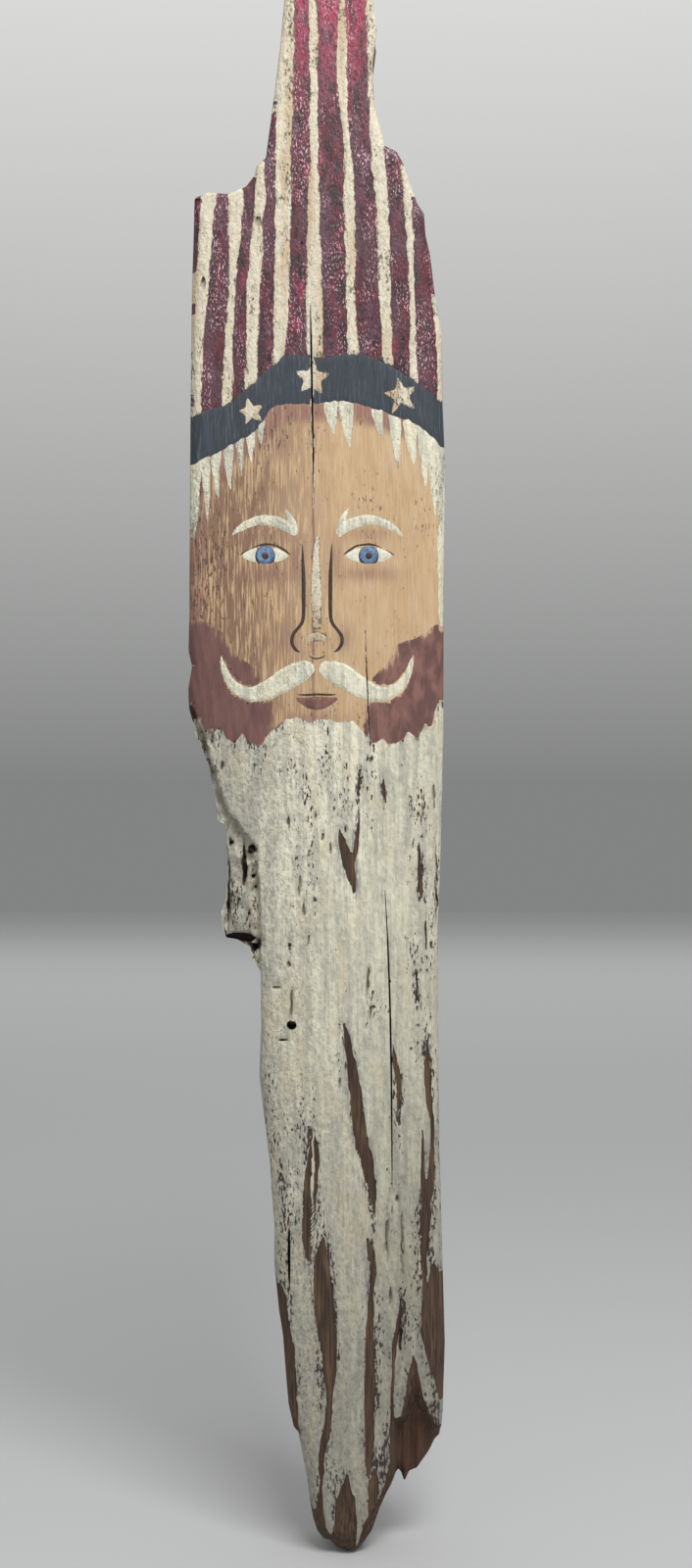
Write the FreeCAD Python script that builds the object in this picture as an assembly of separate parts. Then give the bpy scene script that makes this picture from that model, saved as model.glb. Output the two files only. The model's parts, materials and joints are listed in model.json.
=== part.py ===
"""Wall figure: one old weathered plank, painted as a bearded man in a tall striped hat.

The plank is the whole body of the figure. Its outline is worn, split and broken, and every paint coat is a
thin solid of its own on the front face, stacked in the order that a painter lays the coats down. A folded
steel strap with two screws carries a D-ring on the back, and the figure hangs from that ring.

Drawing axes: X across the plank from its centreline, Y from front (minus) to back (plus) with the plank's
middle at zero, Z up from the foot. Everything is moved at the end so that the origin is the point in the
ring where the wall hook bears.
"""
import FreeCAD
import Part
import math
import os

from FreeCAD import Vector

# ---- the plank -------------------------------------------------------------------------------------------
plank_length = 882.0      # foot to the tip of the hat
plank_width = 144.0       # sawn width, before its edges wore back
plank_thickness = 38.0
front_right_round = 14.0  # worn corner radii of the sawn section
front_left_round = 8.0
back_round = 5.0

# The outline points are drawn for this size and stretch with the plank.
DRAWN_LENGTH = 882.0
DRAWN_WIDTH = 144.0

# ---- wear and damage ---------------------------------------------------------------------------------------
nail_hole_radius = 2.7    # old spike hole, right through
nail_hole_at = (-14.0, 294.0)
check_depth = 9.0         # drying cracks in the front face
flake_depth = 6.0         # how far the decayed left edge lies behind the front face
pocket_depth = 13.0       # the rotted pocket in that edge, from the front face
pocket_radius = 4.2
break_depth = 12.0        # the broken lower right corner, at its splintered foot
break_foot = 38.0         # height of that foot
break_height = 78.0       # where the slope leaves the front face
break_from = 41.5         # its left side

# ---- paint -------------------------------------------------------------------------------------------------
paint_film = 0.3          # one dried coat
edge_bare = 1.5           # bare strip between the paint and the outermost side of the sawn plank

# ---- the painted face ----------------------------------------------------------------------------------------
face_centre = 0.0
hairline = 636.0          # under the hat band
face_length = 205.0       # hairline to chin, in three equal thirds
eye_spacing = 28.5        # centreline to pupil; the head is five eyes wide
eye_width = 27.0
eye_height = 10.5
iris_radius = 5.6
pupil_radius = 2.6
glint_radius = 0.8
nose_width = 27.0         # as wide as the gap between the eyes
mouth_width = 30.0

# ---- the hanger ----------------------------------------------------------------------------------------------
hanger_across = 8.0       # over the plank's centre of mass
hanger_height = 786.0     # the ring's hinge line
ring_wire_radius = 1.2
ring_inner_width = 16.0
ring_reach = 17.5         # hinge line to the middle of the bow's wire
ring_corner = 3.0         # bend of the wire beside the straight bar
ring_play = 0.08          # radial play of the bar in the strap
ring_gap = 0.1            # between the resting bow and the plank
strap_sheet = 1.0
strap_width = 11.0
strap_length = 31.5       # hinge line to the lower end
screw_shank_radius = 1.75
screw_length = 16.0       # under the head
screw_tip = 5.0
screw_head_radius = 3.4
screw_head_height = 2.2
screw_slot = 0.9
screw_hole_play = 0.25    # radial, in the strap
upper_screw_drop = 10.0   # below the hinge line
lower_screw_drop = 24.0

FRONT = -plank_thickness / 2
BACK = plank_thickness / 2
REACH = 60.0              # how far cutting tools stand clear of the plank

# ---- outlines, drawn in millimetres (across, up) ---------------------------------------------------------------
LEFT_EDGE = [
    (19.4, 0), (14.6, 1.4), (11.0, 2.2), (7.6, 6.2), (3.5, 7.4), (0, 12), (-2.3, 20), (-3.8, 29), (-5.4, 43),
    (-7.6, 53.5), (-10.3, 67.8), (-13, 71.3), (-15.8, 84), (-16.8, 95), (-18.9, 122), (-21.1, 136),
    (-23.8, 163), (-23.5, 182), (-25.3, 204), (-26.1, 218), (-30, 249), (-31.9, 266), (-31.5, 280),
    (-30.8, 292), (-31.3, 324), (-35.7, 329.7), (-36.8, 337), (-44.3, 340.7), (-50.3, 342), (-52.3, 348),
    (-52.8, 357), (-50.8, 362), (-49.4, 376), (-50.3, 404), (-54.8, 407), (-56.3, 421), (-60.3, 438),
    (-63.2, 446), (-67.2, 452.5), (-68.7, 461), (-71, 469), (-71.3, 480), (-69.2, 492), (-71.2, 501),
    (-70.7, 520), (-70.4, 588), (-69.7, 671), (-69.2, 705), (-67.7, 750.3),
]
HAT_TOP = [
    (-60.3, 753.4), (-48.8, 752.6), (-39.3, 756.6), (-34.8, 762.6), (-33.3, 768.6), (-28.3, 772.6),
    (-26.8, 784), (-24.6, 801), (-20.5, 833), (-18.3, 858), (-17, 872), (-11.5, 879.5), (-3, 882),
    (8, 878.5), (17, 881), (26, 876), (30.6, 866), (31.2, 857), (33.2, 845), (30.6, 825), (31.6, 804),
    (33.2, 795.6), (36.1, 786.6), (37.2, 779.6), (44.1, 776), (47.6, 769.6),
]
RIGHT_EDGE = [
    (51.6, 757.4), (55.6, 747.4), (59.1, 742.3), (60.1, 730.4), (62.6, 720.4), (65.1, 700.4), (67.6, 686.4),
    (69.4, 676.4), (69.7, 636), (71.1, 604), (70.2, 533), (70.1, 452), (68.6, 388), (67.1, 350), (67.2, 274),
    (68, 220), (69.5, 167), (70.9, 117), (69.8, 79), (68.3, 64.3), (65.5, 60.2), (61.3, 52.7), (55.1, 45),
    (51.3, 43), (48.6, 37.8), (46.9, 42.3), (45.5, 44.4), (41.4, 41), (38.7, 36.2), (34.5, 26), (32.4, 19),
    (30.4, 12.7), (26.9, 7.2), (23.5, 2.4),
]
FLAKE_EDGE = [
    (-80, 474), (-68, 470), (-62, 456), (-58, 441), (-54, 426), (-49, 412), (-43, 404), (-38, 398),
    (-33.5, 392), (-31.5, 370), (-29.7, 330), (-31, 316), (-80, 316),
]
BAND_TOP = [
    (-80, 626), (-70, 628), (-62.6, 632), (-50, 636), (-39, 644.5), (-26.5, 656.6), (-14, 663.5), (0, 661.5),
    (20, 664), (31, 661.5), (43, 655.6), (56, 647.5), (70, 637), (80, 630),
]
BAND_BOTTOM = [
    (-80, 600), (-70, 602.6), (-61, 606.4), (-47.5, 613.4), (-37, 619.4), (-30, 627), (-24, 634.5),
    (-12, 636.2), (2.7, 637), (18, 637.5), (31, 634), (43, 630), (56, 624.5), (63, 619), (70, 610.5), (80, 602),
]
# Pale hat stripes, left to right, as brush strokes: (across, up, stroke width).
HAT_STRIPES = [
    [(-59.5, 760, 9), (-60, 749, 8.5), (-63.2, 704, 8), (-65.7, 641, 4), (-66, 620, 4)],
    [(-44.2, 760, 9), (-44.7, 749, 8.6), (-47, 704, 4.6), (-49, 641, 5.6), (-49.5, 620, 5.6)],
    [(-30.5, 780, 5), (-31.3, 749, 5.8), (-34.6, 704, 7.6), (-37.3, 641, 6), (-38, 630, 6)],
    [(-14.5, 890, 6), (-15.4, 847, 6), (-17.3, 803, 9), (-18.8, 749, 9), (-19, 704, 8.4), (-23.1, 650, 6.4)],
    [(-2.3, 890, 4.5), (-1.8, 830, 4.5), (-1.4, 771, 5), (-1.8, 704, 9), (0.2, 650, 7.8)],
    [(13.2, 890, 5), (13.8, 840, 5), (14.7, 803, 5), (15.9, 787, 2.8), (16.9, 771, 4.6), (18.4, 704, 5.5),
     (21.7, 650, 8)],
    [(29.5, 890, 6), (29.9, 847, 5.5), (30.1, 803, 3.4), (33.9, 771, 7.5), (35.6, 749, 7), (37.4, 704, 6.5),
     (40.6, 645, 6)],
    [(46.6, 785, 3), (49.9, 749, 5.5), (52, 704, 3.2), (52.7, 672, 4), (54.8, 640, 4.5)],
    [(62.5, 722, 2.4), (64.1, 704, 3), (66.4, 676, 2.6), (67.4, 632, 3)],
]
# (across, up, radius, turn in degrees)
BAND_STARS = [(-36.5, 632, 9.0, 14), (-2.5, 650.5, 11.5, -4), (46.2, 641.0, 11.5, 10)]
# White hair under the band, as strokes.
HAIR_STROKES = [
    [(-67.2, 612, 7), (-67.4, 585, 5), (-68, 560, 0)],
    [(-61.5, 614, 6), (-61, 596, 5), (-60.3, 570, 0)],
    [(-55.0, 616, 5), (-55.3, 604, 5), (-54.6, 584, 0)],
    [(-48.6, 620, 6), (-48.6, 606, 5), (-47.6, 588, 0)],
    [(-42.0, 622, 5), (-42.3, 611, 4.6), (-41.4, 595, 0)],
    [(-36.2, 627, 5), (-36.4, 616, 4), (-35.6, 603, 0)],
    [(-30.8, 634, 4), (-31.2, 624, 4), (-30.6, 612, 0)],
    [(7.5, 640, 9), (8, 629, 6), (10, 619, 0)],
    [(16.0, 641, 9), (16.4, 628, 7), (18.6, 611, 0)],
    [(33.0, 638, 7), (34, 627, 5), (36.5, 617, 0)],
    [(42.5, 636, 7), (43.6, 619, 6), (45, 600, 0)],
    [(50.0, 633, 6), (51.4, 618, 6), (53.4, 602, 0)],
    [(57.0, 629, 6), (58.6, 612, 6), (60.2, 590, 0)],
    [(63.4, 624, 6), (65, 602, 6), (65.4, 574, 0)],
    [(69.6, 616, 5), (69.2, 580, 4), (69, 520, 3.4), (69.4, 500, 0)],
]
# The beard's edge: up its left side, along the cheeks, down the right side, and back through the lock tips.
BEARD_LEFT = [
    (-12, 40), (-9.7, 67.2), (-10.2, 79), (-10.9, 94), (-11.7, 105), (-13.2, 120.4), (-15.4, 132), (-16, 143),
    (-20, 152), (-26, 160), (-80, 180), (-80, 452),
]
BEARD_TOP = [
    (-70, 462), (-65, 464), (-62, 457), (-57, 455), (-53.5, 459), (-50, 452), (-45, 449), (-41, 455),
    (-37, 449), (-31, 448), (-26, 455), (-20, 461), (-12, 464), (-4, 461.5), (4, 463), (12, 461), (20, 462),
    (26, 455), (31, 449.5), (36, 452), (40, 448.5), (46, 450), (50, 456), (55, 452), (59, 459), (63, 458),
    (66, 468), (69, 476), (80, 480),
]
BEARD_RIGHT = [
    (80, 147), (71.8, 147), (66.4, 160), (63.5, 163), (61.6, 150.5), (58.4, 166), (57.2, 139), (56.7, 124),
    (59.9, 113), (63.2, 101.5), (67.5, 85.3), (67, 72), (62.1, 80), (58.3, 92), (55.6, 104), (53.5, 113.4),
    (50.2, 101.5), (47.8, 86.4), (44.8, 72), (42.2, 57), (40.9, 55), (40.5, 58), (38, 43.2), (33.8, 32),
    (33.6, 46), (34.3, 53.5), (29.4, 43), (29.6, 50), (28.2, 55),
]
BEARD_FOOT = [
    (26.6, 53), (28, 43), (28.3, 29), (29, 24), (24.8, 15.4), (22.8, 5), (21.8, 3.2), (22.5, 15.7),
    (21.8, 29.2), (19.4, 39.5), (17.3, 46), (16.2, 47.1), (14.6, 41.6), (11.8, 36.2), (10.4, 29.2), (9.7, 19),
    (9, 13.5), (7.7, 12.7), (4.9, 15.4), (3.5, 26), (2.9, 39.5), (3.2, 49), (1.2, 48), (0.8, 35.4),
    (-0.6, 27.2), (-1.8, 24.4), (-6, 26),
]
# Bare wood between the locks, as tapered slits.
BEARD_SLITS = [
    [(12.2, 404, 0), (14.6, 392, 5), (17.8, 382, 6.5), (20.5, 365.6, 0)],
    [(23.2, 414, 0), (22.4, 399, 2.4), (21, 387, 2.6), (19.2, 379, 0)],
    [(22.6, 436, 0), (22.9, 427, 2.4), (22.2, 417, 0)],
    [(36.4, 432, 0), (37, 424, 2), (37.9, 414, 0)],
    [(56, 397, 0), (56.4, 385, 2.4), (57, 373, 2.6), (57.8, 362, 0)],
    [(59, 355, 0), (60, 343, 1.8), (60.6, 333, 0)],
    [(54, 328, 0), (55, 316, 1.6), (56, 303, 0)],
    [(13.5, 298, 0), (16, 289, 3), (18.6, 274, 5), (21.6, 250, 7.3), (24.3, 231, 7.6), (28.5, 214, 6.2),
     (31, 198, 3.9), (32.6, 182, 0)],
    [(-3.2, 238, 0), (-2.2, 223, 6.2), (-3.5, 207, 7.6), (-4.3, 190, 7.5), (-4.7, 173, 5), (-4, 162, 0)],
    [(4.5, 178, 0), (2.4, 162, 8.5), (4.3, 139, 11.5), (6.5, 117, 9.7), (7.2, 101, 6.8), (6.6, 86, 3.8),
     (5, 71, 3.9), (3.2, 58, 3.6), (2.2, 46, 3.2)],
    [(41.8, 285, 0), (43.5, 272, 2.6), (45, 263, 2.8), (44.5, 251, 1.8), (45, 240, 0)],
    [(61, 288, 0), (60.8, 266, 3.5), (62.8, 241, 2.6), (63.6, 224, 2.4), (62.5, 205, 4), (60.5, 190, 0)],
    [(57, 242, 0), (58, 223, 2.2), (58.6, 207, 3.6), (60, 192, 6), (59.2, 172, 4.6), (59.4, 156, 4)],
    [(26.5, 180, 0), (30.6, 166, 3.8), (30.2, 146, 2.6), (29.4, 128, 3.8), (29.2, 112, 5.4), (29.2, 94, 6.8),
     (28.8, 80, 6.1), (28.9, 66, 5.6), (28.2, 51, 3.2)],
    [(45.5, 147, 0), (45.4, 132, 2), (42.9, 119, 2.4), (41.7, 101, 1.6), (41.8, 86, 1.6), (41.3, 71, 1.9),
     (40.8, 53, 1.6)],
]
# Drying cracks in the front face, as tapered slits.
CHECKS = [
    [(-3.9, 704, 0), (-3.2, 668, 1.4), (-2.4, 625, 1.3), (-1.6, 566, 0)],
    [(26.4, 514, 0), (28, 475, 1.0), (29.7, 436, 0)],
    [(36, 388, 0), (39, 340, 1.1), (40.6, 290, 1.3), (41.2, 240, 1.2), (41.6, 184, 0)],
    [(-15.2, 184, 0.6), (-15.4, 166, 2.0), (-15.1, 148, 0.6)],
]
POCKET_AT = (-38.0, 387.0)
CHEEKS = {
    "left": [(-76, 512), (-66, 520), (-52, 512), (-46, 500), (-34, 492), (-26, 482), (-22, 470), (-24, 450),
             (-50, 436), (-76, 440)],
    "right": [(24, 470), (28, 484), (38, 494), (44, 505), (54, 508), (62, 514), (76, 520), (76, 440),
              (50, 436), (26, 452)],
}


def board_point(across, up, y=0.0):
    """A drawn point, stretched to the plank's real width and length."""
    return Vector(across * plank_width / DRAWN_WIDTH, y, up * plank_length / DRAWN_LENGTH)


def curve_through(points):
    """Edge that runs smoothly through the points, or straight where there are only two."""
    if len(points) == 2:
        return Part.LineSegment(*points).toShape()
    spline = Part.BSplineCurve()
    spline.interpolate(points)
    return spline.toShape()


def polygon(points):
    """Flat face with straight sides through drawn points."""
    corners = [board_point(*p) for p in points]
    return Part.Face(Part.makePolygon(corners + corners[:1]))


def between(lower, upper):
    """Flat face between two smooth lines drawn from left to right."""
    low = [board_point(*p) for p in lower]
    high = [board_point(*p) for p in upper]
    sides = [Part.LineSegment(low[-1], high[-1]).toShape(), Part.LineSegment(high[0], low[0]).toShape()]
    return Part.Face(Part.Wire(Part.__sortEdges__([curve_through(low), sides[0], curve_through(high), sides[1]])))


def stroke(points):
    """Flat face of one brush stroke or slit along drawn points (across, up, width); width 0 is a point."""
    middle = [board_point(x, z) for x, z, _ in points]
    left, right = [], []
    for i, (_, _, width) in enumerate(points):
        along = middle[min(i + 1, len(middle) - 1)] - middle[max(i - 1, 0)]
        across = Vector(along.z, 0, -along.x).normalize() * (width / 2)
        left.append(middle[i] - across)
        right.append(middle[i] + across)
    edges = [curve_through(left), curve_through(right)]
    if points[0][2] > 0:
        edges.append(Part.LineSegment(left[0], right[0]).toShape())
    if points[-1][2] > 0:
        edges.append(Part.LineSegment(left[-1], right[-1]).toShape())
    return Part.Face(Part.Wire(Part.__sortEdges__(edges)))


def star(across, up, radius, turn):
    """Flat face of a five-pointed star."""
    inner = 0.42
    centre = board_point(across, up)
    corners = []
    for i in range(10):
        angle = math.radians(90 + turn + 36 * i)
        reach = radius * (1 if i % 2 == 0 else inner)
        corners.append(centre + Vector(math.cos(angle), 0, math.sin(angle)) * reach)
    return Part.Face(Part.makePolygon(corners + corners[:1]))


def disc(centre, radius):
    """Flat round face."""
    return Part.Face(Part.Wire(Part.makeCircle(radius, centre, Vector(0, 1, 0))))


def joined(shapes):
    """One shape from several that overlap or touch."""
    return shapes[0].multiFuse(shapes[1:]).removeSplitter() if len(shapes) > 1 else shapes[0]


def prism(flat, front, back):
    """Solids that a flat shape sweeps from one Y to another."""
    moved = flat.copy()
    moved.translate(Vector(0, front, 0))
    return joined([face.extrude(Vector(0, back - front, 0)) for face in moved.Faces])


def through(flat):
    """A flat shape as a tool that passes right through the plank."""
    return prism(flat, -REACH, REACH)


# ---- the plank ---------------------------------------------------------------------------------------------
def sawn_section(grow=0.0):
    """The sawn plank's cross-section at the foot, with worn corners, grown outward by the paint on it."""
    side, front, back = plank_width / 2 + grow, FRONT - grow, BACK + grow
    corners = [
        (-side, front, 1, 1, front_left_round + grow), (side, front, -1, 1, front_right_round + grow),
        (side, back, -1, -1, back_round + grow), (-side, back, 1, -1, back_round + grow),
    ]
    edges, ends = [], []
    for index, (x, y, inward_x, inward_y, radius) in enumerate(corners):
        along_side, along_face = Vector(x, y + inward_y * radius), Vector(x + inward_x * radius, y)
        cut = radius * (1 - math.sqrt(0.5))
        middle = Vector(x + inward_x * cut, y + inward_y * cut)
        start, end = (along_side, along_face) if index % 2 == 0 else (along_face, along_side)
        edges.append(Part.Arc(start, middle, end).toShape())
        ends.append((start, end))
    for index in range(4):
        edges.append(Part.LineSegment(ends[index][1], ends[(index + 1) % 4][0]).toShape())
    return Part.Face(Part.Wire(Part.__sortEdges__(edges)))


def sawn_plank(grow=0.0):
    """The plank as sawn, longer than its worn ends, before anything broke away."""
    plank = sawn_section(grow).extrude(Vector(0, 0, plank_length + 2 * REACH))
    plank.translate(Vector(0, 0, -REACH))
    return plank


def worn_outline():
    """The ragged outline that wear and breakage left, seen from the front."""
    return polygon(LEFT_EDGE + HAT_TOP + RIGHT_EDGE)


def broken_corner():
    """Tool for the lower right corner, which split away on a slope."""
    top, foot = board_point(0, break_height).z, board_point(0, break_foot).z
    lowest = -REACH
    deepest = FRONT + break_depth * (top - lowest) / (top - foot)
    shape = [Vector(0, FRONT - REACH, top), Vector(0, FRONT, top), Vector(0, deepest, lowest),
             Vector(0, FRONT - REACH, lowest)]
    wedge = Part.Face(Part.makePolygon(shape + shape[:1])).extrude(Vector(plank_width, 0, 0))
    wedge.translate(board_point(break_from, 0))
    return wedge


def damage():
    """Tools for everything that cuts the front: cracks, the old nail hole, the decayed edge, the break."""
    above = FRONT - REACH
    tools = [prism(stroke(points), above, FRONT + check_depth) for points in CHECKS]
    tools.append(through(disc(board_point(*nail_hole_at), nail_hole_radius)))
    tools.append(prism(polygon(FLAKE_EDGE), above, FRONT + flake_depth))
    tools.append(prism(disc(board_point(*POCKET_AT), pocket_radius), above, FRONT + pocket_depth))
    tools.append(broken_corner())
    return tools


def make_board():
    """The plank itself, with its screw holes."""
    board = sawn_plank().common(through(worn_outline())).cut(damage())
    return board.cut([screw_solid(drop, holes_only=True) for drop in (upper_screw_drop, lower_screw_drop)])


# ---- paint coats ----------------------------------------------------------------------------------------------
def paint_skin(layer):
    """The space that one coat may fill: a film over the front face and its worn corners."""
    skin = sawn_plank((layer + 1) * paint_film).cut(sawn_plank(layer * paint_film))
    half = plank_width / 2 - edge_bare
    front_zone = Part.makeBox(2 * half, REACH + min(front_left_round, front_right_round),
                              plank_length + 2 * REACH, Vector(-half, FRONT - REACH, -REACH))
    return skin.common(front_zone).common(through(worn_outline())).cut(damage())


def paint_in_flake():
    """The beard's white paint inside the decayed edge, one film on its floor."""
    floor = FRONT + flake_depth
    film = prism(polygon(FLAKE_EDGE).common(worn_outline()).common(beard_outline()), floor - paint_film, floor)
    half = plank_width / 2 - edge_bare
    clear = Part.makeBox(2 * half, 2 * REACH, plank_length, Vector(-half, -REACH, 0))
    pocket = through(disc(board_point(*POCKET_AT), pocket_radius))
    return sawn_plank().common(film).common(clear).cut([pocket])


def hat_outline():
    """Everything above the band's upper edge."""
    crown = [(-80, DRAWN_LENGTH + 20), (80, DRAWN_LENGTH + 20)]
    return between(BAND_TOP, crown)


def band_outline():
    """The dark band round the hat."""
    return between(BAND_BOTTOM, BAND_TOP)


def beard_outline():
    """The beard's outer edge, without the slits between its locks."""
    return polygon(BEARD_LEFT + BEARD_TOP + BEARD_RIGHT + BEARD_FOOT)


def face_outline():
    """Skin between the band and the beard."""
    chin = [(-80, hairline - face_length), (80, hairline - face_length)]
    return between(chin, BAND_BOTTOM).cut(beard_outline())


def mirrored(points):
    """The same drawn points on the other side of the face, which come back in the same order."""
    return [(2 * face_centre - p[0],) + tuple(p[1:]) for p in points]


def both_sides(*strokes):
    """Strokes for the right half of the face and their mirror images."""
    return [stroke(points) for points in strokes] + [stroke(mirrored(points)) for points in strokes]


THIRD = face_length / 3
BROW_LINE = hairline - THIRD
EYE_LINE = BROW_LINE - 0.22 * THIRD
NOSE_BASE = BROW_LINE - THIRD
MOUTH_LINE = NOSE_BASE - THIRD / 3


def eye_centres():
    """Both pupils' places on the board."""
    return [board_point(face_centre + side * eye_spacing, EYE_LINE) for side in (-1, 1)]


def eye_white_outline(centre):
    """Almond between the lids."""
    half, lift = eye_width / 2, eye_height / 2
    corners = [centre + Vector(-half, 0, 0), centre + Vector(half, 0, 0)]
    upper = Part.Arc(corners[0], centre + Vector(0, 0, lift), corners[1])
    lower = Part.Arc(corners[1], centre + Vector(0, 0, -lift * 0.8), corners[0])
    return Part.Face(Part.Wire([upper.toShape(), lower.toShape()]))


def brow_outlines():
    """Two soft white brows."""
    x = face_centre
    return both_sides(
        [(x + 11, BROW_LINE - 3, 3.5), (x + 20, BROW_LINE + 3, 6.0), (x + 32, BROW_LINE + 4.5, 5.2),
         (x + 42, BROW_LINE + 0.5, 3.4), (x + 48, BROW_LINE - 5.5, 0)],
        [(x + 12, BROW_LINE - 1, 2.6), (x + 14.5, BROW_LINE + 6, 3.0), (x + 18, BROW_LINE + 12, 0)],
    )


def line_outlines():
    """Dark brown drawn lines: upper and lower lids, the crease over each eye, the nose and the mouth."""
    x, half = face_centre, nose_width / 2
    inner, outer = x + eye_spacing - eye_width / 2, x + eye_spacing + eye_width / 2
    top, low = EYE_LINE + eye_height / 2, EYE_LINE - eye_height * 0.4
    pairs = both_sides(
        [(inner - 2.5, EYE_LINE - 1.2, 0), (inner + 2, EYE_LINE + 2.6, 1.5), (inner + 7, top + 0.3, 1.6),
         (inner + 13.5, top + 1.1, 1.8), (inner + 20, top - 0.6, 1.6), (outer - 1, EYE_LINE + 1.6, 1.3),
         (outer + 4, EYE_LINE - 2.5, 0)],
        [(inner + 1.5, EYE_LINE - 1.9, 0), (inner + 7, low - 0.2, 0.9), (inner + 13.5, low - 0.9, 1.0),
         (inner + 20, low + 0.2, 0.9), (outer - 1, EYE_LINE - 1.2, 0)],
        [(inner + 3, top + 3, 0), (inner + 9, top + 5.2, 1.0), (inner + 16, top + 5.4, 1.0), (outer, top + 1.5, 0)],
        [(x + 8.2, BROW_LINE - 7, 0), (x + 7.6, EYE_LINE - 6, 1.8), (x + 7.4, NOSE_BASE + 24, 2.0),
         (x + 8.6, NOSE_BASE + 16, 1.8), (x + half - 0.6, NOSE_BASE + 10.5, 1.8),
         (x + half, NOSE_BASE + 4.5, 1.8), (x + half - 4, NOSE_BASE + 0.6, 1.4), (x + 6.6, NOSE_BASE + 1.2, 0)],
    )
    base = stroke([(x - 6.2, NOSE_BASE + 0.4, 0), (x - 3.2, NOSE_BASE - 2.4, 1.4), (x, NOSE_BASE - 3.2, 1.6),
                   (x + 3.2, NOSE_BASE - 2.4, 1.4), (x + 6.2, NOSE_BASE + 0.4, 0)])
    wide = mouth_width / 2
    mouth = stroke([(x - wide, MOUTH_LINE + 1.2, 0), (x - wide / 2, MOUTH_LINE - 0.5, 1.7),
                    (x, MOUTH_LINE - 0.2, 1.8), (x + wide / 2, MOUTH_LINE - 0.5, 1.7),
                    (x + wide, MOUTH_LINE + 1.2, 0)])
    return pairs + [base, mouth]


def moustache_outlines():
    """Two full halves that part under the nose and turn up at their ends."""
    x = face_centre
    return both_sides([
        (x + 1.4, NOSE_BASE - 8, 4), (x + 7, NOSE_BASE - 9.5, 10.5), (x + 16, NOSE_BASE - 14, 12.5),
        (x + 27, NOSE_BASE - 20.5, 10.5), (x + 38, NOSE_BASE - 22.5, 7.6), (x + 46, NOSE_BASE - 18, 5.4),
        (x + 51, NOSE_BASE - 9, 3.2), (x + 53, NOSE_BASE - 1, 0),
    ])


def lip_outline():
    """The lower lip, closed under the mouth line."""
    x, wide = face_centre, mouth_width / 2 - 2.5
    top = [(x - wide, MOUTH_LINE - 1.6), (x - wide / 2, MOUTH_LINE - 1.9), (x, MOUTH_LINE - 1.5),
           (x + wide / 2, MOUTH_LINE - 1.9), (x + wide, MOUTH_LINE - 1.6)]
    low = [(x - wide, MOUTH_LINE - 1.8), (x - wide / 2, MOUTH_LINE - 7), (x, MOUTH_LINE - 8.8),
           (x + wide / 2, MOUTH_LINE - 7), (x + wide, MOUTH_LINE - 1.8)]
    return between(low, top)


def nose_light_outlines():
    """Pale strokes down the nose and on its ball."""
    x = face_centre
    ridge = stroke([(x, BROW_LINE - 4, 2.4), (x - 0.4, EYE_LINE - 8, 4.2), (x - 0.2, NOSE_BASE + 20, 5.4),
                    (x, NOSE_BASE + 13, 4.6)])
    ball = stroke([(x - 5.5, NOSE_BASE + 7.5, 3.4), (x, NOSE_BASE + 8.8, 5.2), (x + 5.5, NOSE_BASE + 7.5, 3.4)])
    return [joined([ridge, ball])]


def make_coats():
    """Every paint coat as {name: shape}, bottom layer first."""
    skins = [paint_skin(layer) for layer in range(4)]

    def coat(flat, layer):
        """The film that a flat outline leaves in one layer."""
        return skins[layer].common(through(flat))

    face, hat, band = face_outline(), hat_outline(), band_outline()
    moustache, lip = joined(moustache_outlines()), lip_outline()
    brows = joined(brow_outlines())
    locks = beard_outline().cut([stroke(points) for points in BEARD_SLITS])
    cheeks = joined([polygon(points) for points in CHEEKS.values()])
    stars = joined([star(*place) for place in BAND_STARS])
    hair = joined([stroke(points) for points in HAIR_STROKES]).common(face).cut([brows, stars])
    lights = nose_light_outlines()[0]
    lines = joined(line_outlines()).cut([moustache, lip])
    whites = joined([eye_white_outline(centre) for centre in eye_centres()])
    irises = joined([disc(centre, iris_radius) for centre in eye_centres()])
    pupils = joined([disc(centre, pupil_radius) for centre in eye_centres()])
    glints = joined([disc(centre + Vector(-2.6, 0, 2.6), glint_radius) for centre in eye_centres()])
    beard = Part.makeCompound(coat(locks, 0).Solids + paint_in_flake().Solids)
    return {
        "hat_red_coat": coat(hat, 0),
        "hat_band_coat": coat(band, 0),
        "face_coat": coat(face, 0),
        "beard_coat": beard,
        "hat_pale_stripes": coat(joined([stroke(points) for points in HAT_STRIPES]).common(hat), 1),
        "band_stars": coat(stars, 1),
        "hair_strokes": coat(hair, 1),
        "cheek_coat": coat(cheeks.common(face).cut([moustache, hair]), 1),
        "eyebrows": coat(brows, 1),
        "eye_whites": coat(whites.cut(irises), 1),
        "eye_irises": coat(irises.common(whites), 1),
        "nose_light": coat(lights, 1),
        "moustache": coat(moustache, 1),
        "lower_lip": coat(lip, 1),
        "face_lines": coat(lines.cut([whites, lights, brows]), 1),
        "eye_pupils": coat(pupils, 2),
        "eye_glints": coat(glints, 2),
    }


# ---- the hanger -------------------------------------------------------------------------------------------------
hinge_across = board_point(hanger_across, 0).x
hinge_height = board_point(0, hanger_height).z
loop_inner = ring_wire_radius + ring_play
loop_outer = loop_inner + strap_sheet
HINGE = Vector(hinge_across, BACK + loop_outer, hinge_height)
ring_lean = math.degrees(math.asin((HINGE.y - BACK - ring_wire_radius - ring_gap) / ring_reach))


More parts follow.
